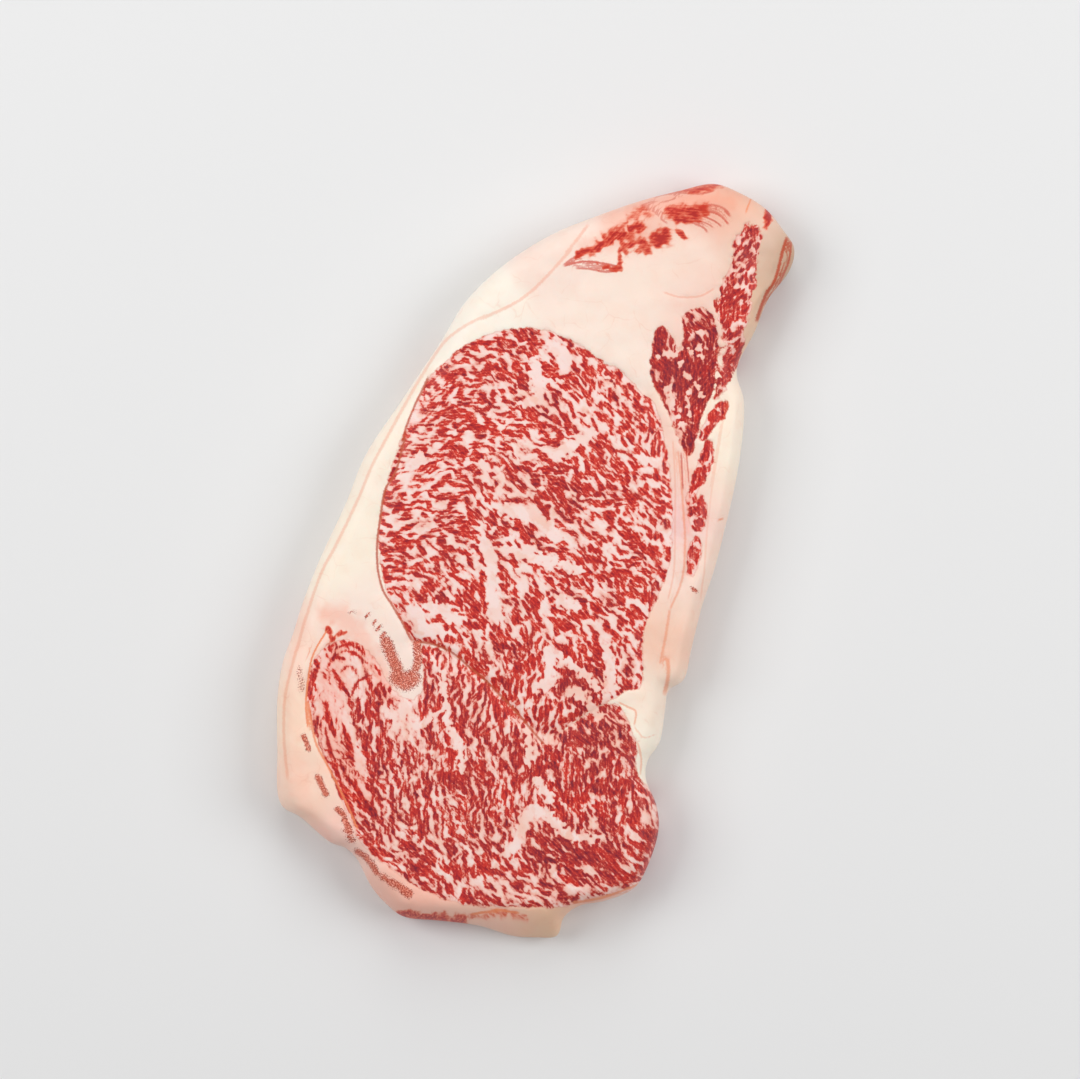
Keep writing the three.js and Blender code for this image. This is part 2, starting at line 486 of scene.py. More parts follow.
@dataclass(frozen=True)
class Muscle:
    """One muscle that the cut goes through."""

    name: str
    border_px: Chain
    tone: float
    lean_share: float
    stretch: float = 1.0
    ragged: float = 0.15


@dataclass(frozen=True)
class Fibres:
    """The direction of the streaks in one part of the cut, read off at listed arrows."""

    arrows_px_deg: list[tuple[float, float, float]]
    reach: float
    far: float = 1e-7
    far_reach: float = 20.0

    def direction(self, raster: Raster) -> np.ndarray:
        """Smooth direction of the streaks over the cut.

        Args:
            raster: the grid to work on.

        Returns:
            Two grids: the cosine and the sine of twice the angle.
        """
        places = PICTURE.to_mm([(x, y) for x, y, _ in self.arrows_px_deg])
        double = [2 * math.radians(-degrees) for _, _, degrees in self.arrows_px_deg]
        return np.stack([
            raster.blended(places, [part(angle) for angle in double], self.reach, self.far, self.far_reach)
            for part in (math.cos, math.sin)
        ])


class Mark(Enum):
    """What a listed line on the cut is."""

    VEIN = "fat that crosses a muscle"
    SINEW = "thin orange skin in the fat"
    FASCIA = "brown skin round the rib-eye"
    STAIN = "dried brown speckles"
    VEIL = "soft smear of lean in the fat"
    FLECK = "long fleck of lean"
    THREAD = "thin thread of lean in the fat"
    BLUSH = "fat tinged pink by the lean beside it"


@dataclass(frozen=True)
class Line:
    """A listed line on the cut."""

    mark: Mark
    width: float
    path_px: Chain
    strength: float = 1.0

    def points(self) -> np.ndarray:
        """Points of the line as a smooth curve, in millimetres."""
        return rounded(PICTURE.to_mm(self.path_px), CURVE_STEPS, closed=False)


def lines(mark: Mark, *rows: tuple) -> tuple[Line, ...]:
    """Lines of one kind, each given by its width, its path in pixels and its strength if not 1."""
    return tuple(Line(mark, *row) for row in rows)


def patches(trait: Trait, *rows: tuple) -> tuple[Patch, ...]:
    """Patches with one trait, each given by its centre in pixels, its radius and its strength if not 1."""
    return tuple(Patch(trait, *row) for row in rows)


RIB_EYE_PX = [
    (432, 376), (452, 357), (470, 343), (490, 334), (520, 328), (545, 330), (566, 338), (588, 350),
    (603, 362), (622, 371), (640, 391), (655, 404), (664, 436), (670, 470), (672, 520), (670, 560),
    (660, 592), (648, 618), (643, 640), (642, 685), (628, 690), (612, 700), (596, 708), (575, 722),
    (550, 736), (524, 722), (505, 702), (482, 680), (455, 657), (432, 645), (414, 641), (400, 618),
    (385, 585), (379, 550), (381, 510), (389, 475), (402, 440), (416, 405),
]
LOWER_PX = [
    (425, 645), (455, 657), (482, 680), (505, 702), (524, 722), (550, 736), (575, 722), (596, 708),
    (614, 704), (626, 716), (636, 745), (635, 765), (640, 780), (654, 796), (665, 820), (665, 845),
    (655, 872), (632, 890), (600, 896), (565, 906), (525, 908), (480, 906), (440, 897), (412, 884),
    (385, 864), (362, 842), (345, 808), (330, 772), (314, 730), (306, 692), (313, 662), (328, 645),
    (350, 640), (372, 655), (388, 682), (405, 699), (420, 694), (423, 670), (421, 652),
]
FAN_PX = [
    (655, 330), (663, 326), (672, 335), (679, 350), (684, 336), (682, 318), (692, 309), (703, 308),
    (713, 316), (718, 332), (717, 350), (716, 372), (714, 390), (708, 402), (702, 418), (697, 436),
    (691, 455), (684, 452), (677, 436), (671, 420), (664, 404), (655, 388), (650, 370), (652, 352),
]
CHAIN_PX = [
    (733, 240), (740, 234), (747, 225), (753, 223), (761, 235), (761, 246), (757, 262), (758, 280),
    (752, 296), (749, 312), (744, 328), (742, 345), (737, 362), (730, 378), (722, 392), (714, 402),
    (716, 384), (721, 366), (723, 346), (722, 326), (714, 306), (719, 296), (722, 282), (729, 272),
    (733, 258),
]
RIB_LENS_1_PX = [
    (728, 400), (724, 416), (714, 428), (706, 440), (699, 440), (702, 428), (709, 414), (718, 403),
]
RIB_LENS_2_PX = [
    (709, 439), (714, 448), (714, 460), (709, 474), (702, 486), (692, 492), (689, 486), (694, 472),
    (700, 456), (704, 444),
]
RIB_LENS_3_PX = [(690, 488), (697, 490), (696, 504), (689, 512), (686, 504), (687, 494)]
RIB_LENS_4_PX = [
    (701, 494), (706, 504), (705, 520), (700, 531), (694, 533), (690, 524), (688, 512), (695, 506),
]
RIB_LENS_5_PX = [
    (697, 535), (701, 548), (698, 560), (693, 574), (688, 578), (687, 560), (689, 546), (693, 538),
]

MUSCLES = (
    Muscle("rib-eye", RIB_EYE_PX, tone=0.1, lean_share=0.53),
    Muscle("lower muscle", LOWER_PX, tone=0.42, lean_share=0.57, stretch=1.3),
    Muscle("fan of the rib side", FAN_PX, tone=0.85, lean_share=0.82, stretch=1.5),
    Muscle("chain of the rib side", CHAIN_PX, tone=0.45, lean_share=0.68, ragged=0.3),
    Muscle("rib lens 1", RIB_LENS_1_PX, tone=0.1, lean_share=0.8),
    Muscle("rib lens 2", RIB_LENS_2_PX, tone=0.15, lean_share=0.82),
    Muscle("rib lens 3", RIB_LENS_3_PX, tone=0.1, lean_share=0.6),
    Muscle("rib lens 4", RIB_LENS_4_PX, tone=0.05, lean_share=0.8),
    Muscle("rib lens 5", RIB_LENS_5_PX, tone=0.0, lean_share=0.6),
)

# Direction of the streaks: pixel, pixel, and degrees down to the right in the picture.
RIB_EYE_FIBRES = Fibres(
    [(440, 370, -15), (540, 370, 42), (620, 390, 52), (410, 470, -8), (500, 440, 20), (580, 450, 32),
     (655, 450, 64), (400, 540, -5), (460, 520, 26), (500, 510, 38), (560, 540, 32), (620, 530, 38),
     (662, 540, 58), (420, 610, 48), (460, 600, 50), (500, 600, 52), (600, 590, 30), (480, 650, 68),
     (540, 670, 95), (590, 650, 52), (628, 650, 70)],
    reach=9.0,
)
LOWER_FIBRES = Fibres(
    [(320, 700, 88), (340, 750, 74), (360, 800, 64), (375, 850, 52), (400, 890, 32), (345, 665, 60),
     (375, 700, 80), (425, 670, 74), (430, 710, 100), (410, 760, 70), (460, 720, 90), (500, 740, 89),
     (450, 790, 82), (500, 800, 80), (420, 840, 60), (470, 850, 66), (540, 860, 58), (540, 750, 88),
     (580, 710, 48), (620, 740, 62), (590, 790, 80), (630, 800, 90), (590, 870, 50), (470, 900, 42),
     (540, 903, 26), (630, 860, 45)],
    reach=9.0,
)
RIB_SIDE_FIBRES = Fibres(
    [(665, 345, 75), (660, 400, 62), (690, 340, 75), (700, 320, 40), (705, 360, 100), (700, 400, 112),
     (685, 430, 80), (748, 250, 105), (738, 300, 112), (730, 340, 108), (715, 390, 118), (680, 215, 10),
     (715, 218, 22), (610, 240, -35), (640, 230, -30), (600, 268, 8), (680, 192, -14), (640, 205, -20)],
    reach=6.0,
)

LINES = (
    *lines(
        Mark.VEIN,
        (1.5, [(534, 365), (539, 393), (526, 403)]), (1.6, [(552, 346), (560, 352), (566, 362)]),
        (1.3, [(559, 456), (567, 448), (592, 434)]),
        (1.6, [(509, 509), (530, 515), (547, 525), (556, 536)]),
        (1.6, [(486, 545), (492, 570), (493, 600), (496, 618)]), (1.4, [(559, 600), (575, 606)]),
        (1.2, [(547, 651), (551, 668), (550, 681), (538, 687)]),
        (1.1, [(573, 691), (586, 700), (598, 716)]), (1.4, [(430, 606), (445, 612), (455, 620)]),
        (1.8, [(412, 612), (425, 628), (440, 632)]),
        (0.5, [(659, 357), (669, 352), (677, 353), (680, 343)]),
        (0.45, [(679, 362), (687, 374), (696, 385), (703, 396)]),
        (0.4, [(668, 387), (674, 404), (681, 424)]), (0.35, [(688, 348), (696, 355), (705, 357)]),
        (0.35, [(700, 330), (702, 343), (696, 352)]), (0.35, [(690, 392), (688, 405), (691, 420)]),
        (1.0, [(655, 462), (640, 458)]), (1.6, [(420, 458), (412, 464)]),
        (1.1, [(505, 550), (545, 560), (580, 570)]), (0.8, [(527, 733), (529, 748), (528, 763)]),
        (1.3, [(506, 852), (518, 840), (526, 818), (540, 810), (556, 824), (568, 834)]),
        (0.9, [(537, 779), (545, 790), (552, 801)]),
        (0.75, [(443, 672), (446, 700), (450, 728), (460, 748), (462, 772)]),
        (0.7, [(385, 712), (400, 724), (417, 727), (432, 718)]),
        (0.8, [(568, 834), (584, 838), (600, 838)]),
        (1.0, [(344, 712), (347, 722), (352, 745), (362, 770)]),
        (0.7, [(560, 655), (575, 666), (590, 680), (606, 698)]),
        (1.3, [(607, 650), (610, 672), (612, 692)]),
    ),
    *lines(
        Mark.SINEW,
        (0.55, [(590, 225), (560, 262), (520, 300), (460, 330), (430, 365), (380, 453), (360, 498),
         (340, 540), (322, 575), (308, 615), (298, 650), (290, 680), (285, 710), (286, 750),
         (289, 780)], 0.35), (0.4, [(308, 700), (315, 740), (330, 770), (345, 800), (358, 830)], 0.8),
        (0.4, [(678, 450), (681, 480), (684, 520), (685, 545), (682, 580), (670, 610)], 0.5),
        (0.35, [(728, 398), (722, 420), (717, 450), (712, 480), (708, 510), (705, 540), (703, 570),
         (699, 600)], 0.25), (0.35, [(673, 440), (675, 480), (675, 530), (674, 570), (668, 600)], 0.3),
        (0.4, [(716, 520), (723, 517)], 0.8), (0.5, [(670, 609), (665, 640), (660, 665)], 0.5),
        (0.7, [(666, 655), (667, 675), (663, 695)], 0.6),
        (0.35, [(618, 702), (628, 707), (636, 712), (634, 726)], 0.55),
        (0.3, [(634, 726), (642, 737), (655, 734)], 0.35),
        (0.35, [(636, 740), (640, 757), (639, 775)], 0.5), (0.5, [(470, 914), (495, 911), (520, 914)], 0.9),
        (0.5, [(570, 903), (600, 898), (640, 884)], 0.8), (0.35, [(752, 196), (748, 206), (745, 214)], 0.8),
        (0.35, [(663, 292), (680, 297), (700, 296), (715, 288)], 0.35),
        (0.35, [(327, 630), (313, 655), (308, 680), (306, 705), (308, 728)], 0.9),
    ),
    *lines(
        Mark.FASCIA,
        (0.6, [(787, 236), (781, 255), (775, 278), (764, 298), (755, 322)]),
        (0.4, [(791, 240), (788, 262), (778, 284), (766, 303)], 0.9),
        (0.42, [(430, 376), (410, 420), (396, 470), (385, 490), (380, 520), (377, 545), (378, 570),
         (383, 590), (392, 605), (402, 622), (410, 638), (415, 645)], 0.85),
        (0.4, [(412, 642), (425, 643), (440, 647), (455, 655), (470, 668), (485, 680), (497, 692),
         (510, 705), (525, 722), (545, 745)], 0.8),
    ),
    *lines(
        Mark.STAIN,
        (2.6, [(386, 642), (391, 655), (397, 668)]), (1.9, [(417, 645), (418, 658), (416, 668)]),
        (3.8, [(398, 677), (406, 682), (412, 678)]), (0.6, [(366, 617), (369, 613)]),
        (0.6, [(373, 624), (376, 620)]), (0.65, [(377, 630), (380, 626)]), (0.75, [(381, 637), (385, 633)]),
        (0.45, [(349, 613), (352, 611)], 0.7), (1.2, [(304, 736), (309, 749)]),
        (1.4, [(318, 777), (326, 794)]), (1.3, [(337, 809), (344, 815)]), (1.4, [(345, 820), (353, 840)]),
        (1.4, [(358, 851), (368, 858), (378, 872)]), (1.5, [(384, 876), (396, 884), (410, 893)]),
        (1.3, [(301, 669), (302, 689)], 0.5), (0.8, [(692, 589), (695, 591)], 1.3),
    ),
    *lines(
        Mark.VEIL,
        (2.0, [(671, 214), (682, 212), (694, 213), (702, 210)], 0.75),
        (1.2, [(676, 218), (688, 220), (698, 219)], 0.9), (0.8, [(682, 211), (694, 211)], 0.95),
        (0.6, [(678, 232), (684, 235), (688, 238)], 0.75),
        (1.0, [(679, 190), (690, 191), (700, 191), (710, 188), (720, 184)], 0.7),
        (1.8, [(634, 216), (642, 212), (647, 214)], 0.45),
        (1.1, [(579, 254), (592, 251), (603, 243), (614, 238), (624, 234)], 0.9),
        (0.8, [(604, 239), (614, 232), (624, 226), (632, 220)], 0.55),
        (1.1, [(630, 229), (636, 228), (642, 226)], 0.95), (0.7, [(612, 236), (620, 238), (630, 236)], 0.7),
        (1.4, [(624, 246), (634, 242), (643, 243), (646, 250)], 0.75),
        (0.55, [(620, 248), (619, 258), (621, 267)], 0.8), (0.5, [(627, 252), (636, 251), (644, 253)], 0.6),
        (0.6, [(600, 267), (612, 269), (621, 269)], 0.7), (2.3, [(657, 239), (663, 237)]),
        (0.7, [(767, 209), (768, 218), (766, 227)], 1.1), (0.7, [(330, 628), (331, 640)], 0.9),
        (0.5, [(331, 640), (337, 635), (344, 632)], 0.8),
        (1.5, [(403, 914), (420, 917), (440, 918), (462, 920)], 0.85),
        (0.8, [(470, 917), (500, 914), (525, 918)], 0.45),
    ),
    *lines(
        Mark.THREAD,
        (0.4, [(698, 209), (710, 206), (722, 209), (731, 217)], 0.7),
        (0.4, [(700, 212), (712, 212), (722, 217), (729, 225)], 0.75),
        (0.35, [(700, 215), (708, 218), (716, 222), (722, 227)], 0.7),
        (0.35, [(708, 209), (718, 213), (726, 220)], 0.5),
        (0.4, [(689, 221), (698, 225), (704, 228), (708, 233)], 0.65),
        (0.3, [(696, 221), (706, 223), (714, 228)], 0.6),
        (0.35, [(668, 192), (684, 194), (700, 195), (714, 192)], 0.6),
        (0.35, [(676, 188), (690, 187), (704, 186), (718, 182)], 0.6),
        (0.3, [(652, 200), (662, 196), (673, 195), (676, 199), (668, 202), (656, 203)], 0.5),
        (0.3, [(640, 207), (652, 203), (664, 204)], 0.45),
        (0.35, [(640, 210), (652, 212), (662, 220), (668, 224)], 0.5),
        (0.3, [(645, 207), (657, 210), (666, 217)], 0.45),
        (0.45, [(563, 266), (572, 259), (583, 254)], 0.7),
        (0.45, [(563, 266), (580, 262), (592, 262), (605, 264), (619, 267)], 0.8),
        (0.4, [(575, 268), (590, 269), (606, 272), (620, 270)], 0.7),
        (0.3, [(584, 265), (600, 267), (614, 269)], 0.6), (0.35, [(681, 452), (682, 470), (683, 490)], 0.7),
        (0.3, [(686, 450), (688, 470), (689, 484)], 0.6),
    ),
    *lines(
        Mark.FLECK,
        (0.75, [(320, 661), (314, 675), (310, 691), (312, 704)]),
        (0.3, [(337, 648), (348, 644), (360, 650), (367, 659)]),
        (0.3, [(335, 655), (346, 651), (358, 656), (367, 664)]),
        (0.45, [(328, 667), (335, 657), (344, 659)]),
        (0.5, [(332, 668), (339, 680), (346, 691), (350, 699)]),
        (0.4, [(350, 699), (358, 682), (371, 675)]), (0.35, [(340, 672), (350, 666), (358, 676)]),
        (0.35, [(362, 660), (365, 671), (369, 682), (375, 692)]), (0.6, [(358, 698), (359, 714)]),
        (0.65, [(369, 696), (367, 710), (371, 726)]), (0.8, [(325, 701), (329, 719), (336, 738)]),
        (0.5, [(311, 719), (316, 738), (324, 761), (337, 786), (346, 802)]),
        (0.6, [(325, 728), (329, 747), (337, 772), (344, 793)]),
        (0.85, [(344, 728), (350, 747), (353, 765)]),
        (0.65, [(346, 775), (358, 791), (369, 809), (378, 818)]),
        (0.7, [(360, 728), (365, 747), (371, 761)]),
    ),
    *lines(
        Mark.BLUSH,
        (1.6, [(302, 625), (298, 650), (295, 690), (296, 750), (304, 800), (332, 850)], 0.3),
        (2.0, [(330, 616), (345, 620), (362, 642), (376, 664), (388, 690)], 0.8),
        (3.0, [(335, 655), (330, 700), (345, 760), (365, 800)], 0.7),
        (0.8, [(686, 440), (687, 500), (687, 570)], 0.5),
        (2.0, [(640, 205), (670, 205), (700, 200), (725, 205)], 0.5),
        (1.5, [(585, 250), (610, 240), (640, 232)], 0.6),
    ),
)

PATCHES = (
    *patches(
        Trait.FINE,
        ((455, 395), 17.0), ((600, 725), 15.0), ((520, 650), 10.0, 0.5), ((685, 380), 16.0, 0.9),
        ((745, 290), 16.0), ((700, 490), 16.0), ((580, 800), 14.0, 0.5),
    ),
    *patches(
        Trait.SOLID,
        ((585, 722), 8.0, 0.5), ((622, 760), 7.0, 0.6), ((560, 470), 7.0, 0.3), ((590, 770), 7.0, 0.4),
        ((640, 840), 7.0, 1.2), ((565, 868), 8.0, 0.7), ((595, 800), 8.0, 0.5), ((590, 657), 3.5),
        ((562, 684), 4.0, 0.7), ((628, 668), 3.5, 0.7), ((450, 882), 9.0, 0.5),
    ),
    *patches(
        Trait.DARK,
        ((595, 722), 13.0, 0.6), ((575, 690), 6.0, 0.4), ((545, 410), 5.0, 0.5), ((510, 490), 5.0, 0.5),
        ((545, 500), 16.0, 0.15), ((555, 860), 11.0, 0.35),
    ),
    *patches(
        Trait.PALE,
        ((415, 620), 6.0, 0.9), ((350, 668), 6.5, 2.2), ((326, 700), 6.0, 1.6), ((330, 745), 6.0, 1.6),
        ((350, 775), 5.0, 0.8), ((405, 722), 6.0, 1.4), ((640, 700), 4.0, 0.5), ((470, 795), 13.0, 0.4),
        ((470, 480), 9.0, 0.3),
    ),
    *patches(
        Trait.LONG,
        ((345, 760), 22.0, 0.8), ((500, 770), 16.0, 0.8),
    ),
)

# Colour of the fat at places on the cut. The tints on the bottom flap and the lower left rim are also lighter
# than the fat itself, as painted light that makes up for the shade on the sloping rim.
FAT_TINTS_AND_RIM_LIGHT_PX = (
    (330, 560, "#FFF0DE"), (380, 430, "#FFF0DF"), (470, 300, "#FEF3E5"), (560, 250, "#FBE3D6"),
    (640, 290, "#FDE5D6"), (680, 265, "#FCE3D4"), (600, 320, "#FDE8DA"), (650, 215, "#F7C6B4"),
    (720, 200, "#F6C0AC"), (745, 195, "#EEAD8E"), (765, 225, "#F9DAC8"), (768, 260, "#F6D6C3"),
    (790, 250, "#B98E66"), (783, 275, "#A27C5A"), (762, 300, "#E9C5A9"), (700, 300, "#F9D3C4"),
    (678, 470, "#F9D3C4"), (687, 520, "#F6C9C8"), (730, 420, "#FFEBD8"), (735, 450, "#FFF1DF"),
    (716, 500, "#FDE3D0"), (710, 560, "#FBDFC9"), (690, 570, "#FDDFD5"), (696, 610, "#FADBC8"),
    (675, 640, "#F6CBB5"), (660, 700, "#FCE6D4"), (645, 745, "#FFF3E2"), (300, 640, "#FEE0CF"),
    (290, 720, "#FFE1CB"), (295, 790, "#FDD8C4"), (350, 850, "#FACFC1"), (390, 900, "#F7C0AE"),
    (500, 920, "#F8C6B2"), (540, 935, "#EDC4A4"), (600, 897, "#F6C3B0"), (385, 610, "#FEEADC"),
    (400, 648, "#FBE3D7"), (355, 630, "#FCE2D6"),
)


@dataclass(frozen=True)
class Flecks:
    """Tapered flecks of lean, laid side by side along the fibres and parted by slits of fat."""

    half_width: float = 0.47
    half_length: float = 2.6
    apart_across: float = 1.32
    apart_along: float = 4.0
    slit_slope: float = 0.7
    slit_offset: float = 0.07
    slit_wobble: float = 0.15
    fullness: float = 1.15
    # How far the flecks' edges waver, finely and broadly, and the grain of each waver.
    edge_wobble: float = 0.22
    edge_grain: float = 0.45
    broad_wobble: float = 0.35
    broad_grain: float = 1.2
    bend: float = 0.05
    turn: float = 0.16
    widths: tuple[float, float] = (0.55, 1.25)
    lengths: tuple[float, float] = (0.5, 1.4)
    tries: int = 60000
    margin: int = 12
    farthest: float = 1.5

    def places(self, raster: Raster, flow: np.ndarray, size: np.ndarray, lean: np.ndarray) -> np.ndarray:
        """Scatters the flecks' middles so that no two crowd each other.

        Args:
            raster: the grid to work on.
            flow: the fibres' unit direction.
            size: how large the flecks are at each place.
            lean: where there may be flecks.

        Returns:
            One row (x, y) for each fleck.
        """
        x = raster.random.uniform(raster.xs[self.margin], raster.xs[-self.margin], self.tries)
        y = raster.random.uniform(raster.ys[self.margin], raster.ys[-self.margin], self.tries)
        wanted = lean[raster.cell(x, y)]
        x, y = x[wanted], y[wanted]
        cell = raster.cell(x, y)
        across = np.stack([-flow[1][cell], flow[0][cell]]) / (self.apart_across * size[cell])
        along = flow[:, cell[0], cell[1]] / (self.apart_along * size[cell])
        kept = np.empty((2, len(x)))
        count = 0
        for k, place in enumerate(zip(x, y)):
            gap = kept[:, :count] - np.array(place)[:, None]
            if count and ((along[:, k] @ gap) ** 2 + (across[:, k] @ gap) ** 2).min() < 1:
                continue
            kept[:, count] = place
            count += 1
        return kept[:, :count].T

    def lay(self, raster: Raster, flow: np.ndarray, size: np.ndarray, stretch: np.ndarray,
            lean: np.ndarray) -> tuple[np.ndarray, np.ndarray]:
        """Lays the flecks.

        Args:
            raster: the grid to work on.
            flow: the fibres' unit direction.
            size: how large the flecks are at each place.
            stretch: how drawn out they are at each place.
            lean: where there may be flecks.

        Returns:
            How deep each place lies inside a fleck, negative outside, and its fleck's own shade.
        """
        middles = self.places(raster, flow, size, lean)
        count = len(middles)
        random = raster.random
        bends, turns = random.normal(0, self.bend, count), random.normal(0, self.turn, count)
        widths, lengths = random.uniform(*self.widths, count), random.uniform(*self.lengths, count)
        shades = random.normal(0, 1, count)
        x, y = (
            axis + self.edge_wobble * raster.soft_noise(self.edge_grain)
            + self.broad_wobble * raster.soft_noise(self.broad_grain)
            for axis in raster.plan()
        )
        first = np.full(x.shape, -self.farthest)
        second = first.copy()
        shade = np.zeros(x.shape)
        rows, columns = raster.cell(*middles.T)
        for k, (row, column) in enumerate(zip(rows, columns)):
            wide = self.half_width * size[row, column] * widths[k]
            long = self.half_length * size[row, column] * stretch[row, column] * lengths[k]
            half = int((long + self.farthest) / raster.pitch) + 1
            window = np.s_[max(row - half, 0) : row + half, max(column - half, 0) : column + half]
            dx, dy = x[window] - middles[k, 0], y[window] - middles[k, 1]
            cos, sin = math.cos(turns[k]), math.sin(turns[k])
            u, v = flow[:, row, column]
            u, v = u * cos - v * sin, u * sin + v * cos
            along = dx * u + dy * v
            across = dy * u - dx * v - bends[k] * along * along
            inside = self.fullness * wide * (1 - (along / long) ** 2) - np.abs(across)
            past = np.abs(along) - long
            inside = np.where(past > 0, np.minimum(inside, -np.hypot(past, across)), inside)
            above = inside > first[window]
            second[window] = np.where(above, first[window], np.maximum(second[window], inside))
            shade[window] = np.where(above, shades[k], shade[window])
            first[window] = np.maximum(first[window], inside)
        slit = self.slit_slope * (first - second) + self.slit_offset
        slit = slit + self.slit_wobble * raster.soft_noise(1.0)
        return np.minimum(first, slit), shade


@dataclass
class CutFace:
    """Everything that the knife laid bare, as patterns over the plan of the slice."""

    raster: Raster
    muscles: tuple[Muscle, ...] = MUSCLES
    lines: tuple[Line, ...] = LINES
    patches: tuple[Patch, ...] = PATCHES
    fields: dict[str, np.ndarray] = field(default_factory=dict)
    inside: list[np.ndarray] = field(default_factory=list)
    # How far the fibres wander, and an angle that no muscle's fibres run at, where their sense turns round.
    wander: float = 0.18
    turn_deg: float = 40.0
    # What the traits do to the flecks, at full strength.
    fine_size: float = -0.3
    fine_stretch: float = -0.2
    long_size: float = 0.12
    long_stretch: float = 0.6
    solid_gain: float = 0.3
    pale_loss: float = 0.35
    # How deep rivers of fat, veins and the muscles' borders cut into the flecks, in millimetres.
    river_depth: float = 0.45
    vein_depth: float = 1.4
    border_depth: float = 0.35
    # The shallowest and the deepest place that the pattern tells apart, in millimetres.
    shallowest: float = -0.8
    deepest: float = 0.7
    # How far round a thin line to look, how far out it fades in half-widths, and how long its ends taper.
    thin_reach: float = 2.5
    thin_fade: tuple[float, float] = (2.4, 1.4)
    thin_end: float = 1.5
    thin_taper: tuple[float, float] = (0.1, -0.8)
    none_near: float = 9.0
    # How far round a listed fleck to look, how ragged it is, and its half-width from middle to tip.
    fleck_reach: float = 2.0
    fleck_fray: float = 0.1
    fleck_middle: float = 1.15
    fleck_taper: float = 0.85
    # How much darker single flecks and broad blotches are.
    fleck_shade: float = 0.24
    blotch_shade: float = 0.12
    # How far each of the fat's tints holds, and the weight it has beyond that.
    tint_reach: float = 6.0
    tint_far: float = 1e-4
    tint_far_reach: float = 10.0

    def build(self) -> None:
        """Works every pattern out."""
        flow = self.flow()
        depth = self.lean_depth()
        self.fields["fleck_mm"], shade = self.marbling(flow, depth)
        self.fields.update(self.tones(shade))
        for mark in (Mark.SINEW, Mark.FASCIA, Mark.THREAD):
            name = mark.name.lower()
            self.fields[f"{name}_side"], self.fields[name] = self.thin_line(mark)
        self.fields["stain"] = self.line_strength(Mark.STAIN)
        self.fields["veil"] = self.line_strength(Mark.VEIL, reach=1.7, fray=0.4)
        self.fields["blush"] = self.line_strength(Mark.BLUSH, reach=2.5, fray=0.6)

    def flow(self) -> np.ndarray:
        """Unit direction of the streaks, with one sense all over."""
        eye, lower, side = (f.direction(self.raster) for f in (RIB_EYE_FIBRES, LOWER_FIBRES, RIB_SIDE_FIBRES))
        borders = [rounded(PICTURE.to_mm(m.border_px), CURVE_STEPS, closed=True) for m in self.muscles]
        self.inside = [self.raster.inside_mm(border) for border in borders]
        in_eye, in_lower = self.inside[:2]
        in_side = np.max(self.inside[2:], axis=0)
        double = np.where(in_lower > in_eye, lower, eye)
        large = np.maximum(in_eye, in_lower)
        double = np.where((in_side > large) | (large < -3), side, double)
        angle = 0.5 * np.arctan2(double[1], double[0]) + self.wander * self.raster.soft_noise(2.6)
        turn = math.radians(self.turn_deg)
        angle = (angle - turn) % math.pi + turn - math.pi
        self.fields["fibre_cos"] = np.cos(2 * angle)
        self.fields["fibre_sin"] = np.sin(2 * angle)
        return np.stack([np.cos(angle), np.sin(angle)])

    def lean_depth(self) -> list[np.ndarray]:
        """How deep each place lies inside each muscle, with ragged borders."""
        wobble = self.raster.soft_noise(0.45)
        depth = [mm + m.ragged * wobble for m, mm in zip(self.muscles, self.inside)]
        lean = np.max(depth, axis=0)
        self.fields["lean_mm"] = np.clip(lean, -4, 4)
        return depth

    def traced(self, mark: Mark, reach: float, widths: float = 0.0) -> Iterator[tuple]:
        """Goes along the lines of one kind.

        Args:
            mark: the kind of line.
            reach: how far out to look.
            widths: how many of its own widths to look further out.

        Yields:
            A line, its points, the window of the grid round it, and the distances in that window.
        """
        for line in self.lines:
            if line.mark is mark:
                path = line.points()
                window, side = self.raster.beside(path, reach + widths * line.width)
                yield line, path, window, side

    def line_strength(self, mark: Mark, reach: float = 1.0, fray: float = 0.0, core: float = 0.3,
                      grain: float = 0.5) -> np.ndarray:
        """How strongly the lines of one kind show at each place, from 0 to 1.

        Args:
            mark: the kind of line.
            reach: how far out the line fades, in line widths.
            fray: how ragged its edge is, in millimetres.
            core: how far out it is at its strongest, in line widths.
            grain: the grain of the ragged edge, in millimetres.

        Returns:
            The strengths on the grid.
        """
        total = np.zeros((self.raster.rows, self.raster.columns))
        wobble = fray * self.raster.soft_noise(grain)
        for line, _, window, side in self.traced(mark, 4 * fray, reach):
            away = np.abs(side) + wobble[window]
            level = line.strength * smoothstep(line.width * reach, line.width * core, away)
            total[window] = np.maximum(total[window], level)
        return total

    def thin_line(self, mark: Mark) -> tuple[np.ndarray, np.ndarray]:
        """Where the nearest thin line of one kind runs, with ends that fade out.

        Args:
            mark: the kind of line.

        Returns:
            How many half-widths each place lies to the side of the nearest line, and how strongly it shows.
        """
        nearest = np.full((self.raster.rows, self.raster.columns), self.none_near)
        strength = np.zeros_like(nearest)
        x, y = self.raster.plan()
        for line, path, window, side in self.traced(mark, self.thin_reach):
            side = side / line.width
            level = line.strength * smoothstep(*self.thin_fade, np.abs(side))
            for tip, inner in ((path[0], path[2]), (path[-1], path[-3])):
                dx, dy = x[window] - tip[0], y[window] - tip[1]
                past = (dx * (tip[0] - inner[0]) + dy * (tip[1] - inner[1])) / math.dist(tip, inner)
                level *= np.where(np.hypot(dx, dy) < self.thin_end, smoothstep(*self.thin_taper, past), 1)
            nearer = np.abs(side) < np.abs(nearest[window])
            nearest[window] = np.where(nearer, side, nearest[window])
            strength[window] = np.where(nearer, level, strength[window])
        return nearest, strength

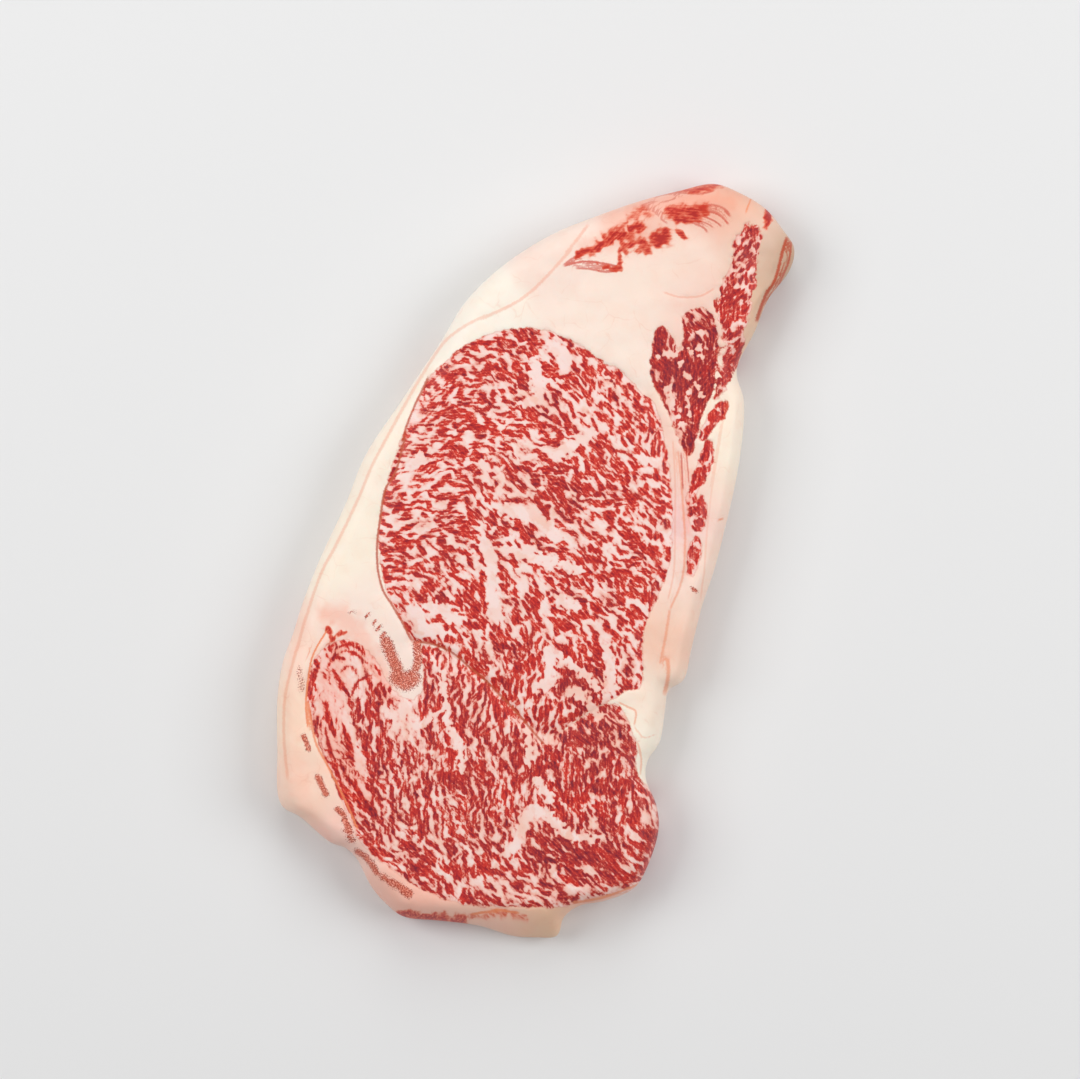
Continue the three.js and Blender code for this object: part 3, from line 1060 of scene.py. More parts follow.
    def long_flecks(self) -> np.ndarray:
        """How deep each place lies inside the listed flecks, in millimetres, negative outside."""
        fray = self.fleck_fray * self.raster.soft_noise(0.5)
        x, y = self.raster.plan()
        depth = np.full(x.shape, self.shallowest)
        for line, path, window, side in self.traced(Mark.FLECK, self.fleck_reach):
            middle = path.mean(axis=0)
            half = np.hypot(*(path - middle).T).max()
            from_middle = (x[window] - middle[0]) ** 2 + (y[window] - middle[1]) ** 2
            width = line.width * (self.fleck_middle - self.fleck_taper * from_middle / half**2)
            inside = width - np.abs(side) + fray[window]
            depth[window] = np.maximum(depth[window], inside)
        return depth

    def marbling(self, flow: np.ndarray, depth: list[np.ndarray]) -> tuple[np.ndarray, np.ndarray]:
        """How deep each place lies inside the lean's flecks, in millimetres, negative in fat.

        Args:
            flow: the direction of the streaks.
            depth: how deep each place lies inside each muscle.

        Returns:
            The depths on the grid, and the shade of each place's fleck.
        """
        raster = self.raster
        fine = np.clip(self.trait(Trait.FINE), 0, 1.4)
        drawn_out = np.clip(self.trait(Trait.LONG), 0, 1)
        size = (1 + self.fine_size * fine) * (1 + self.long_size * drawn_out)
        stretch = np.ones_like(size)
        for muscle, inside in zip(self.muscles, depth):
            stretch[inside > 0] = muscle.stretch
        stretch *= (1 + self.fine_stretch * fine) * (1 + self.long_stretch * drawn_out)
        inside_fleck, shade = Flecks().lay(raster, flow, size, stretch, self.fields["lean_mm"] > -1)
        rivers = smoothstep(0.5, 0.08, np.abs(raster.soft_noise(2.2)))
        rivers *= smoothstep(-0.6, 0.4, raster.soft_noise(4.0))
        even = inside_fleck + 0.05 * raster.soft_noise(2.6)
        even -= self.river_depth * rivers * np.clip(1 - 0.8 * fine, 0, 1)
        veins = self.line_strength(Mark.VEIN, reach=1.5, fray=0.45, core=0.35, grain=0.4)
        gain = self.solid_gain * self.trait(Trait.SOLID) - self.pale_loss * self.trait(Trait.PALE)
        pattern = even + (gain - self.vein_depth * veins)
        fleck = np.full_like(pattern, self.shallowest)
        for muscle, inside in zip(self.muscles, depth):
            place = inside > -0.6
            rise = np.quantile(even[place], 1 - muscle.lean_share)
            value = pattern[place] - rise - self.border_depth * smoothstep(0.6, -0.3, inside[place])
            fleck[place] = np.maximum(fleck[place], value)
        return np.clip(np.maximum(fleck, self.long_flecks()), self.shallowest, self.deepest), shade

    def busy(self) -> np.ndarray:
        """Above 0 where the pattern is too fine for the fat's spacing: in lean and beside lines."""
        busy = self.fields["lean_mm"] + 0.9
        for name in ("veil", "sinew", "fascia", "thread", "stain"):
            busy = np.maximum(busy, 2.5 * self.raster.blur(self.fields[name] > 0.1, 0.3) - 0.5)
        return busy

    def trait(self, trait: Trait) -> np.ndarray:
        """How strongly the patches with a trait show at each place."""
        return sum(patch.strength * self.zone(patch) for patch in self.patches if patch.trait is trait)

    def zone(self, patch: Patch) -> np.ndarray:
        """Where a patch lies, 1 at its centre and softly down to 0."""
        cx, cy = PICTURE.to_mm([patch.centre_px])[0]
        return self.raster.from_coarse(lambda x, y: np.exp(-((x - cx) ** 2 + (y - cy) ** 2) / patch.radius**2))

    def tones(self, shade: np.ndarray) -> dict[str, np.ndarray]:
        """How dark the lean is, with each fleck's own shade, and the colour of the fat, at each place."""
        tone = np.zeros((self.raster.rows, self.raster.columns))
        weights = np.full_like(tone, 1e-6)
        for muscle, inside in zip(self.muscles, self.inside):
            weight = smoothstep(-2.5, 1.5, inside)
            tone += weight * muscle.tone
            weights += weight
        tone = tone / weights
        tone += self.trait(Trait.DARK) + self.fleck_shade * shade
        tone += self.blotch_shade * self.raster.soft_noise(2.4)
        # The fat's colour, with painted light on the sloping rim at the bottom and lower left.
        places = PICTURE.to_mm([(x, y) for x, y, _ in FAT_TINTS_AND_RIM_LIGHT_PX])
        channels = zip(*(srgb(code) for _, _, code in FAT_TINTS_AND_RIM_LIGHT_PX))
        grids = {
            name: self.raster.blended(places, values, self.tint_reach, self.tint_far, self.tint_far_reach)
            for name, values in zip(FAT_COLOUR, channels)
        }
        grids["tone"] = np.clip(tone, 0, 1)
        return grids


def srgb(code: str) -> tuple[float, float, float]:
    """Turns an sRGB hex colour into linear red, green and blue."""
    parts = [int(code[i : i + 2], 16) / 255 for i in (1, 3, 5)]
    return tuple(c / 12.92 if c <= 0.04045 else ((c + 0.055) / 1.055) ** 2.4 for c in parts)


def node(tree: Tree, kind: str, inputs: dict | None = None, **settings: object) -> Node:
    """Adds a node to a tree.

    Args:
        tree: the tree.
        kind: the node's type.
        inputs: for inputs by name or number, a value, a socket to link from, or a node for its first socket.
        settings: values for the node's own settings.

    Returns:
        The node.
    """
    made = tree.nodes.new(kind)
    for name, value in settings.items():
        setattr(made, name, value)
    for key, value in (inputs or {}).items():
        if isinstance(value, Node):
            value = value.outputs[0]
        if isinstance(value, Socket):
            tree.links.new(value, made.inputs[key])
        else:
            made.inputs[key].default_value = value
    return made


@dataclass(frozen=True)
class DampRawBeef:
    """Raw beef, cut with a knife: damp lean that shines softly, and fat that is waxy and a little duller."""

    name: str = "damp raw beef"
    # From fat to the heart of a fleck, by depth inside it in millimetres, in bright and in dark muscles.
    bright_lean: Stops = (
        (-0.70, "#FCE0D9"), (-0.40, "#FBD7CE"), (-0.20, "#F9CBC2"), (-0.09, "#F4B1A5"), (0.00, "#E98472"),
        (0.07, "#DE4A3B"), (0.20, "#CE3730"), (0.34, "#B42A2C"), (0.48, "#8E2833"),
    )
    dark_lean: Stops = (
        (-0.70, "#F7C8B7"), (-0.40, "#F5BCAA"), (-0.20, "#EEA696"), (-0.09, "#E08B7B"), (0.00, "#CA5E53"),
        (0.07, "#BC3E36"), (0.20, "#A23034"), (0.34, "#832B39"), (0.48, "#6E2634"),
    )
    heart_mm: float = 0.2
    # A soft smear of lean in the fat, from its edge to its middle.
    veil: Stops = (
        (0.0, "#F6C3AF"), (0.3, "#F0A088"), (0.55, "#E26E55"), (0.8, "#D24436"), (1.0, "#B8322E"),
    )
    veil_streaks: float = 2.2
    veil_fade: tuple[float, float] = (0.03, 0.4)
    ramp_reach: float = 0.8
    # How far the border of the lean wavers with the grain, and how soft it is.
    border_waver: float = 0.8
    border_blur: float = 0.16
    contour: str = "#D98468"
    contour_mm: float = 0.28
    contour_share: float = 0.4
    sinew: str = "#F08C60"
    fascia: str = "#C0563A"
    thread: str = "#D2402A"
    # How far a thin line's width wavers, and where it fades out, both in half-widths.
    line_waver: float = 1.6
    line_fade: tuple[float, float] = (1.2, 0.35)
    stain: Stops = (
        (0.36, "#8C2A1A"), (0.45, "#B8442E"), (0.52, "#D8684F"), (0.62, "#F29C84"),
    )
    # How far the speckle eats into a stain, between which levels it fades in, and how much of it shows.
    stain_fray: float = 3.0
    stain_between: tuple[float, float] = (-1.1, -0.75)
    stain_share: float = 0.95
    stain_reach: float = 4.0
    blush: str = "#FFE1D9"
    # What the fat's colour is multiplied by where it is pinker, and the noise between which it turns so.
    pinker: tuple[float, float, float] = (1.0, 0.95, 0.93)
    pinker_between: tuple[float, float] = (0.45, 0.75)
    web: str = "#EDB39A"
    web_mm: float = 9.0
    web_line_mm: float = 0.22
    web_share: float = 0.35
    slit_mm: float = 0.62
    slit_length_mm: float = 2.4
    slit_rise: float = 0.3
    slit_depth_mm: float = 0.13
    chip_mm: float = 0.5
    chip_depth_mm: float = 0.05
    speckle_mm: float = 0.32
    noise_spread: float = 0.11
    grain_mm: float = 0.45
    lobule_mm: float = 5.0
    roughness_lean: float = 0.36
    roughness_fat: float = 0.44
    bump: float = 0.5
    bump_mm: float = 0.05
    refraction: float = 1.4
    specular: float = 0.3
    scatter: float = 0.12
    scatter_mm: float = 0.6
    scatter_radius: tuple[float, float, float] = (1.0, 0.35, 0.25)

    def make(self) -> bpy.types.Material:
        """Builds the material.

        Returns:
            The material.
        """
        material = bpy.data.materials.new(self.name)
        material.use_nodes = True
        tree = material.node_tree
        tree.nodes.clear()
        place = node(tree, "ShaderNodeTexCoord").outputs["Object"]
        read = {
            name: node(tree, "ShaderNodeAttribute", attribute_name=name).outputs["Fac"] for name in LOOKS
        }
        grain = node(tree, "ShaderNodeTexNoise",
                     {"Vector": place, "Scale": 1 / (self.grain_mm * MM), "Detail": 3.0, "Roughness": 0.6})
        lobules = node(tree, "ShaderNodeTexNoise",
                       {"Vector": place, "Scale": 1 / (self.lobule_mm * MM), "Detail": 4.0})
        slits = self.fibre_noise(tree, read, place)
        shade = self.lean_shade(tree, read, place, slits)
        fat = self.fat_colour(tree, place, lobules)
        fat = self.veiled(tree, read, fat, slits)
        border = node(tree, "ShaderNodeMath", {0: grain, 1: 0.5}, operation="SUBTRACT")
        edge = node(tree, "ShaderNodeMath", {0: border, 1: self.border_waver, 2: read["lean_mm"]},
                    operation="MULTIPLY_ADD")
        lean = node(tree, "ShaderNodeMapRange",
                    {"Value": edge, "From Min": -self.border_blur, "From Max": self.border_blur},
                    interpolation_type="SMOOTHSTEP")
        colour = node(tree, "ShaderNodeMix", {0: lean, MIX_A: fat, MIX_B: shade}, data_type="RGBA")
        rim = node(tree, "ShaderNodeMath", {0: edge}, operation="ABSOLUTE")
        rim_share = node(tree, "ShaderNodeMapRange",
                         {"Value": rim, "From Min": 0.0, "From Max": self.contour_mm,
                          "To Min": self.contour_share, "To Max": 0.0})
        colour = node(tree, "ShaderNodeMix",
                      {0: rim_share, MIX_A: colour.outputs[MIX_RESULT],
                       MIX_B: (*srgb(self.contour), 1)}, data_type="RGBA")
        blushed = node(tree, "ShaderNodeMix",
                       {0: read["blush"], MIX_A: colour.outputs[MIX_RESULT], MIX_B: (*srgb(self.blush), 1)},
                       data_type="RGBA", blend_type="MULTIPLY")
        colour = self.skins(tree, read, blushed.outputs[MIX_RESULT], grain)
        colour = self.stained(tree, read, colour, place)
        rough = node(tree, "ShaderNodeMapRange",
                     {"Value": lean, "To Min": self.roughness_fat, "To Max": self.roughness_lean})
        bump = node(tree, "ShaderNodeBump",
                    {"Height": grain, "Strength": self.bump, "Distance": self.bump_mm * MM})
        surface = node(tree, "ShaderNodeBsdfPrincipled", {
            "Base Color": colour, "Roughness": rough, "Normal": bump, "IOR": self.refraction,
            "Specular IOR Level": self.specular, "Subsurface Weight": self.scatter,
            "Subsurface Scale": self.scatter_mm * MM, "Subsurface Radius": self.scatter_radius,
        })
        node(tree, "ShaderNodeOutputMaterial", {"Surface": surface})
        return material

    def lean_shade(self, tree: Tree, read: dict, place: Socket, slits: Node) -> Socket:
        """Colour of the lean with its marbling, drawn out along the fibres.

        Args:
            tree: the material's tree.
            read: the piece's attributes.
            place: the place in the piece.
            slits: noise drawn out along the fibres.

        Returns:
            The colour socket.
        """
        chips = node(tree, "ShaderNodeTexNoise",
                     {"Vector": place, "Scale": 1 / (self.chip_mm * MM), "Detail": 2.0, "Roughness": 0.6})
        chip_level = node(tree, "ShaderNodeMath", {0: chips, 1: 0.5}, operation="SUBTRACT")
        total = node(tree, "ShaderNodeMath", {0: read["fleck_mm"], 1: self.heart_mm}, operation="MINIMUM")
        for level, depth in ((slits, self.slit_depth_mm), (chip_level, self.chip_depth_mm)):
            total = node(tree, "ShaderNodeMath", {0: level, 1: depth / self.noise_spread, 2: total},
                         operation="MULTIPLY_ADD")
        reach = self.ramp_reach
        score = node(tree, "ShaderNodeMapRange", {"Value": total, "From Min": -reach, "From Max": reach})
        ramps = [
            self.ramp(tree, score, [(0.5 + depth / (2 * reach), code) for depth, code in stops])
            for stops in (self.bright_lean, self.dark_lean)
        ]
        mixed = node(tree, "ShaderNodeMix", {0: read["tone"], MIX_A: ramps[0], MIX_B: ramps[1]},
                     data_type="RGBA")
        return mixed.outputs[MIX_RESULT]

    def ramp(self, tree: Tree, value: Node, stops: list[tuple[float, str]]) -> Node:
        """Turns a value into a colour.

        Args:
            tree: the material's tree.
            value: the value, from 0 to 1.
            stops: values with their colours.

        Returns:
            The node with the colour.
        """
        ramp = node(tree, "ShaderNodeValToRGB", {"Fac": value})
        elements = ramp.color_ramp.elements
        while len(elements) < len(stops):
            elements.new(0.5)
        for element, (position, code) in zip(elements, stops):
            element.position = position
            element.color = (*srgb(code), 1)
        return ramp

    def veiled(self, tree: Tree, read: dict, fat: Socket, slits: Node) -> Socket:
        """Lays the soft smears of lean over the fat.

        Args:
            tree: the material's tree.
            read: the piece's attributes.
            fat: the fat's colour.
            slits: noise drawn out along the fibres.

        Returns:
            The colour socket.
        """
        part = node(tree, "ShaderNodeMath", {0: slits, 1: self.veil_streaks}, operation="MULTIPLY")
        level = node(tree, "ShaderNodeMath", {0: part, 1: read["veil"], 2: read["veil"]},
                     operation="MULTIPLY_ADD")
        colour = self.ramp(tree, level, self.veil)
        share = node(tree, "ShaderNodeMapRange",
                     {"Value": level, "From Min": self.veil_fade[0], "From Max": self.veil_fade[1]})
        mixed = node(tree, "ShaderNodeMix", {0: share, MIX_A: fat, MIX_B: colour}, data_type="RGBA")
        return mixed.outputs[MIX_RESULT]

    def fibre_noise(self, tree: Tree, read: dict, place: Socket) -> Node:
        """Noise drawn out along the fibres, mixed from four that run an eighth of a turn apart.

        Args:
            tree: the material's tree.
            read: the piece's attributes.
            place: the place in the piece.

        Returns:
            The noise, about 0.
        """
        total = 0.0
        turns = ((0, "fibre_cos", 1), (45, "fibre_sin", 1), (90, "fibre_cos", -1), (135, "fibre_sin", -1))
        for turn_deg, name, sense in turns:
            turned = node(tree, "ShaderNodeVectorRotate", {"Vector": place, "Angle": -math.radians(turn_deg)},
                          rotation_type="Z_AXIS")
            drawn = node(tree, "ShaderNodeVectorMath",
                         {0: turned, 1: (self.slit_mm / self.slit_length_mm, 1.0, self.slit_rise)},
                         operation="MULTIPLY")
            noise = node(tree, "ShaderNodeTexNoise",
                         {"Vector": drawn, "Scale": 1 / (self.slit_mm * MM), "Detail": 2.0,
                          "Roughness": 0.55})
            level = node(tree, "ShaderNodeMath", {0: noise, 1: 0.5}, operation="SUBTRACT")
            near = node(tree, "ShaderNodeMath", {0: read[name], 1: float(sense)}, operation="MULTIPLY",
                        use_clamp=True)
            total = node(tree, "ShaderNodeMath", {0: level, 1: near, 2: total}, operation="MULTIPLY_ADD")
        return total

    def fat_colour(self, tree: Tree, place: Socket, lobules: Node) -> Socket:
        """Colour of the fat, a little pinker in places, with the fine web that parts its lobules.

        Args:
            tree: the material's tree.
            place: the place in the piece.
            lobules: broad noise.

        Returns:
            The colour socket.
        """
        # The fat's colour from the piece, with painted light on the sloping rim at the bottom and lower left.
        channels = {
            number: node(tree, "ShaderNodeAttribute", attribute_name=name).outputs["Fac"]
            for number, name in enumerate(FAT_COLOUR)
        }
        tint = node(tree, "ShaderNodeCombineColor", channels)
        pinker = node(tree, "ShaderNodeMix", {0: 1.0, MIX_A: tint, MIX_B: (*self.pinker, 1)},
                      data_type="RGBA", blend_type="MULTIPLY")
        low, high = self.pinker_between
        share = node(tree, "ShaderNodeMapRange", {"Value": lobules, "From Min": low, "From Max": high})
        mixed = node(tree, "ShaderNodeMix", {0: share, MIX_A: tint, MIX_B: pinker.outputs[MIX_RESULT]},
                     data_type="RGBA")
        swirl = node(tree, "ShaderNodeTexNoise",
                     {"Vector": place, "Scale": 1 / (self.web_mm * MM), "Detail": 2.0})
        bent = node(tree, "ShaderNodeVectorMath",
                    {0: swirl.outputs["Color"], 1: (self.web_mm * MM,) * 3, 2: place},
                    operation="MULTIPLY_ADD")
        web = node(tree, "ShaderNodeTexVoronoi",
                   {"Vector": bent, "Scale": 1 / (self.web_mm * MM)}, feature="DISTANCE_TO_EDGE")
        line = node(tree, "ShaderNodeMapRange",
                    {"Value": web, "From Min": 0.0,
                     "From Max": self.web_line_mm / self.web_mm, "To Min": self.web_share, "To Max": 0.0})
        part = node(tree, "ShaderNodeMath", {0: line, 1: share}, operation="MULTIPLY")
        webbed = node(tree, "ShaderNodeMix",
                      {0: part, MIX_A: mixed.outputs[MIX_RESULT], MIX_B: (*srgb(self.web), 1)},
                      data_type="RGBA")
        return webbed.outputs[MIX_RESULT]

    def skins(self, tree: Tree, read: dict, colour: Socket, grain: Node) -> Socket:
        """Lays sinew, fascia and threads of lean over the colour, as thin lines whose width wavers.

        Args:
            tree: the material's tree.
            read: the piece's attributes.
            colour: the colour below.
            grain: fine noise.

        Returns:
            The colour socket.
        """
        waver = node(tree, "ShaderNodeMath", {0: grain, 1: self.line_waver, 2: -self.line_waver / 2},
                      operation="MULTIPLY_ADD")
        for name, code in (("sinew", self.sinew), ("fascia", self.fascia), ("thread", self.thread)):
            away = node(tree, "ShaderNodeMath", {0: read[f"{name}_side"]}, operation="ABSOLUTE")
            edge = node(tree, "ShaderNodeMath", {0: away, 1: waver}, operation="ADD")
            line = node(tree, "ShaderNodeMapRange",
                        {"Value": edge, "From Min": self.line_fade[0], "From Max": self.line_fade[1]},
                        interpolation_type="SMOOTHSTEP")
            kept = node(tree, "ShaderNodeMath", {0: line, 1: read[name]}, operation="MULTIPLY")
            mixed = node(tree, "ShaderNodeMix",
                         {0: kept, MIX_A: colour, MIX_B: (*srgb(code), 1)}, data_type="RGBA")
            colour = mixed.outputs[MIX_RESULT]
        return colour

    def stained(self, tree: Tree, read: dict, colour: Socket, place: Socket) -> Socket:
        """Lays dried speckles over the colour.

        Args:
            tree: the material's tree.
            read: the piece's attributes.
            colour: the colour below.
            place: the place in the piece.

        Returns:
            The colour socket.
        """
        speckle = node(tree, "ShaderNodeTexNoise",
                       {"Vector": place, "Scale": 1 / (self.speckle_mm * MM), "Detail": 2.0,
                        "Roughness": 0.7})
        speckles = self.ramp(tree, speckle, self.stain)
        frayed = node(tree, "ShaderNodeMath", {0: speckle, 1: -self.stain_fray, 2: read["stain"]},
                      operation="MULTIPLY_ADD")
        low, high = self.stain_between
        share = node(tree, "ShaderNodeMapRange",
                     {"Value": frayed, "From Min": low, "From Max": high, "To Max": self.stain_share})
        near = node(tree, "ShaderNodeMath", {0: read["stain"], 1: self.stain_reach}, operation="MULTIPLY",
                    use_clamp=True)
        kept = node(tree, "ShaderNodeMath", {0: share, 1: near}, operation="MULTIPLY")
        mixed = node(tree, "ShaderNodeMix", {0: kept, MIX_A: colour, MIX_B: speckles}, data_type="RGBA")
        return mixed.outputs[MIX_RESULT]


@dataclass(frozen=True)
class CutRelief:
    """Fine rise and fall of the cut: lean shrinks back from the fat, flecks sink, skins pull tight."""

    lean_sink: float = 0.12
    border_sink: float = 0.14
    fleck_sink: float = 0.10
    fascia_sink: float = 0.20
    sinew_sink: float = 0.20
    lobe_rise: float = 0.30
    lobe_size: float = 8.0
    ripple_rise: float = 0.10
    ripple_size: float = 3.2
    seed: float = 11.0
    # How deep in the lean, how deep in a fleck and how near the lean's border each sink starts and is full.
    lean_between: Point = (-0.4, 0.4)
    fleck_between: Point = (-0.2, 0.3)
    border_between: Point = (1.0, 0.0)

    def sizes(self) -> dict[str, float]:
        """The tree's named inputs with their values, lengths in metres."""
        names = [part.name for part in fields(self) if part.name.endswith(("sink", "rise", "size"))]
        lengths = {name.replace("_", " ").capitalize(): getattr(self, name) * MM for name in names}
        return {**lengths, "Seed": self.seed}

    def tree(self) -> Tree:
        """Builds the tree that raises and sinks the skin along its normals.

        Returns:
            The tree.
        """
        tree = bpy.data.node_groups.new("cut relief", "GeometryNodeTree")
        sockets = tree.interface
        sockets.new_socket("Geometry", in_out="INPUT", socket_type="NodeSocketGeometry")
        for name in self.sizes():
            sockets.new_socket(name, in_out="INPUT", socket_type="NodeSocketFloat")
        sockets.new_socket("Material", in_out="INPUT", socket_type="NodeSocketMaterial")
        sockets.new_socket("Geometry", in_out="OUTPUT", socket_type="NodeSocketGeometry")
        given = node(tree, "NodeGroupInput").outputs
        read = {
            name: node(tree, "GeometryNodeInputNamedAttribute", {"Name": name}).outputs["Attribute"]
            for name in ("lean_mm", "fleck_mm", "fascia", "sinew", "bare")
        }
        lean = self.ramp(tree, read["lean_mm"], *self.lean_between)
        fleck = self.ramp(tree, read["fleck_mm"], *self.fleck_between)
        away = node(tree, "ShaderNodeMath", {0: read["lean_mm"]}, operation="ABSOLUTE")
        border = self.ramp(tree, away, *self.border_between)
        fat = node(tree, "ShaderNodeMath", {0: 1.0, 1: lean}, operation="SUBTRACT")
        lobes = node(tree, "ShaderNodeMath", {0: self.noise(tree, given, "Lobe size"), 1: fat},
                     operation="MULTIPLY")
        ripples = self.noise(tree, given, "Ripple size")
        height = 0.0
        for part, size, sense in (
            (lean, "Lean sink", -1), (fleck, "Fleck sink", -1), (border, "Border sink", -1),
            (read["fascia"], "Fascia sink", -1), (read["sinew"], "Sinew sink", -1),
            (lobes, "Lobe rise", 1), (ripples, "Ripple rise", 1),
        ):
            signed = node(tree, "ShaderNodeMath", {0: given[size], 1: float(sense)}, operation="MULTIPLY")
            height = node(tree, "ShaderNodeMath", {0: part, 1: signed, 2: height}, operation="MULTIPLY_ADD")
        shown = node(tree, "ShaderNodeMath", {0: height, 1: read["bare"]}, operation="MULTIPLY")
        normal = node(tree, "GeometryNodeInputNormal")
        offset = node(tree, "ShaderNodeVectorMath", {0: normal, "Scale": shown}, operation="SCALE")
        moved = node(tree, "GeometryNodeSetPosition", {"Geometry": given["Geometry"], "Offset": offset})
        real = node(tree, "GeometryNodeRealizeInstances", {"Geometry": moved})
        dressed = node(tree, "GeometryNodeSetMaterial", {"Geometry": real, "Material": given["Material"]})
        node(tree, "NodeGroupOutput", {"Geometry": dressed})
        return tree

    def ramp(self, tree: Tree, value: Socket | Node, low: float, high: float) -> Node:
        """Rises smoothly from 0 at low to 1 at high."""
        return node(tree, "ShaderNodeMapRange", {"Value": value, "From Min": low, "From Max": high},
                    interpolation_type="SMOOTHSTEP")

    def noise(self, tree: Tree, given: bpy.types.bpy_prop_collection, size: str) -> Node:
        """Noise about 0 with features of a named size."""
        scale = node(tree, "ShaderNodeMath", {0: 1.0, 1: given[size]}, operation="DIVIDE")
        inputs = {"Scale": scale, "W": given["Seed"]}
        noise = node(tree, "ShaderNodeTexNoise", inputs, noise_dimensions="4D")
        level = node(tree, "ShaderNodeMath", {0: noise, 1: 0.5}, operation="SUBTRACT")
        return node(tree, "ShaderNodeMath", {0: level, 1: NOISE_GAIN}, operation="MULTIPLY")

    def apply(self, piece: bpy.types.Object, material: bpy.types.Material) -> None:
        """Works the relief into a piece's mesh.

        Args:
            piece: the piece, which carries the attributes that the tree reads.
            material: the material that it gets.
        """
        tree = self.tree()
        modifier = piece.modifiers.new("relief", "NODES")
        modifier.node_group = tree
        values = {**self.sizes(), "Material": material}
        for item in tree.interface.items_tree:
            if item.in_out == "INPUT" and item.name in values:
                modifier[item.identifier] = values[item.name]
        depsgraph = bpy.context.evaluated_depsgraph_get()
        shaped = bpy.data.meshes.new_from_object(
            piece.evaluated_get(depsgraph), preserve_all_data_layers=True, depsgraph=depsgraph
        )
        plain = piece.data
        piece.modifiers.clear()
        piece.data = shaped
        bpy.data.meshes.remove(plain)
        shaped.name = piece.name


@dataclass
class Slice:
    """The steak itself: one closed skin round the cut face, the side and the base."""

    form: SliceForm
    face: CutFace
    finish: DampRawBeef
    relief: CutRelief = field(default_factory=CutRelief)
    rim_spacing: float = 0.9
    lean_spacing: float = 0.45
    fat_spacing: float = 1.5
    base_spacing: float = 2.6
    base_rows: int = 5
    face_rows: int = 10
    # How near the rim the inner points come, and how far the coarse ones stay from a fine pattern.
    face_clearance: float = 0.4
    base_clearance: float = 0.6
    fine_clearance: float = 0.3
    # How far in the side reads the pattern: at the face, more down to the base, and more below the waist.
    drift: float = 0.4
    drift_down: float = 0.8
    drift_below: float = 1.2
    # How far the base's pattern has moved from the face's, as the fibres run through the slice askew.
    base_shift: Point = (1.6, -1.2)
    # Parts of the map's width: the cut face, the base, and the side in strips.
    face_share: float = 0.58
    base_share: float = 0.22
    side_strips: int = 3
    map_gap: float = 0.004

    def lattice(self, spacing: float) -> np.ndarray:
        """Points set in even triangles over the plan."""
        half = (self.face.raster.half_width, self.face.raster.half_length)
        x, y = np.meshgrid(np.arange(-half[0], half[0], spacing),
                           np.arange(-half[1], half[1], spacing * math.sqrt(3) / 2))
        x[1::2] += spacing / 2
        return np.column_stack([x.ravel(), y.ravel()])

    def fill(self, ring: np.ndarray, points: np.ndarray, clearance: float) -> tuple[np.ndarray, np.ndarray]:
        """Joins a closed ring and the points inside it into triangles.

        Args:
            ring: the points of the ring, clockwise.
            points: the points to use, of which those outside or near the ring are dropped.
            clearance: how far a point stays from the ring.

        Returns:
            The points kept, and triangles that count the ring's points first.
        """
        inside = self.face.raster.inside_mm(ring)
        kept = points[self.face.raster.at(inside, points[:, 0], points[:, 1]) > clearance]
        everything = np.vstack([ring, kept])
        found = delaunay_2d_cdt([Vector(p) for p in everything], [], [list(range(len(ring)))], 1, 1e-7, False)
        triangles = np.array(found[2], int)
        middle = everything[triangles].mean(axis=1)
        pocket = (triangles < len(ring)).all(axis=1)
        pocket[pocket] = distance_to_chain(*middle[pocket].T, ring, closed=True) > 0
        triangles = triangles[~pocket]
        corner = everything[triangles]
        first, second = corner[:, 1] - corner[:, 0], corner[:, 2] - corner[:, 0]
        turned = first[:, 0] * second[:, 1] - first[:, 1] * second[:, 0] < 0
        triangles[turned] = triangles[turned][:, ::-1]
        return kept, triangles

    def build(self) -> bpy.types.Object:
        """Makes the piece.

        Returns:
            The finished piece.
        """
        form, raster = self.form, self.face.raster
        rim = form.rim(self.rim_spacing)
        angles = [-QUARTER * (1 - i / self.base_rows) for i in range(self.base_rows)]
        angles += [QUARTER * i / self.face_rows for i in range(self.face_rows + 1)]
        rows = [form.side_row(rim, angle) for angle in angles]
        fine, coarse = self.lattice(self.lean_spacing), self.lattice(self.fat_spacing)
        busy = self.face.busy()
        fine = fine[raster.at(busy, *fine.T) > 0]
        coarse = coarse[raster.at(busy, *coarse.T) < -self.fine_clearance]
        face_points, upper = self.fill(rows[-1][:, :2], np.vstack([fine, coarse]), self.face_clearance)
        base_points, lower = self.fill(rows[0][:, :2], self.lattice(self.base_spacing), self.base_clearance)
        skin = np.vstack([
            *rows,
            np.column_stack([face_points, form.height(*face_points.T)]),
            np.column_stack([base_points, np.zeros(len(base_points))]),
        ])
        count = len(rim)
        face_start = count * (len(rows) - 1)
        base_start = count * len(rows) + len(face_points)
        upper = upper + face_start
        lower = np.where(lower < count, lower, lower - count + base_start)[:, ::-1]
        mesh = self.mesh(skin, np.vstack([upper, lower, self.bands(count, len(rows))]))
        plan, bare = self.reading(skin, rim, angles, base_start)
        patterns = {name: raster.at(self.face.fields[name], *plan.T) for name in (*LOOKS, *FAT_COLOUR)}
        for name, values in {**patterns, "bare": bare}.items():
            mesh.attributes.new(name, "FLOAT", "POINT").data.foreach_set("value", values.astype(np.float32))
        places = np.vstack([
            self.spread(skin[upper.ravel(), :2], self.face_share, 0.0),
            self.spread(skin[lower.ravel(), :2], self.base_share, self.face_share),
            self.unrolled(count, len(rows)),
        ])
        mesh.uv_layers.new(name=MAP_NAME).data.foreach_set("uv", places.astype(np.float32).ravel())
        piece = bpy.data.objects.new("steak_cut", mesh)
        bpy.context.scene.collection.objects.link(piece)
        self.relief.apply(piece, self.finish.make())
        self.keep_in_box(piece.data)
        log.info("%s: %d triangles", piece.name, len(piece.data.polygons))
        return piece

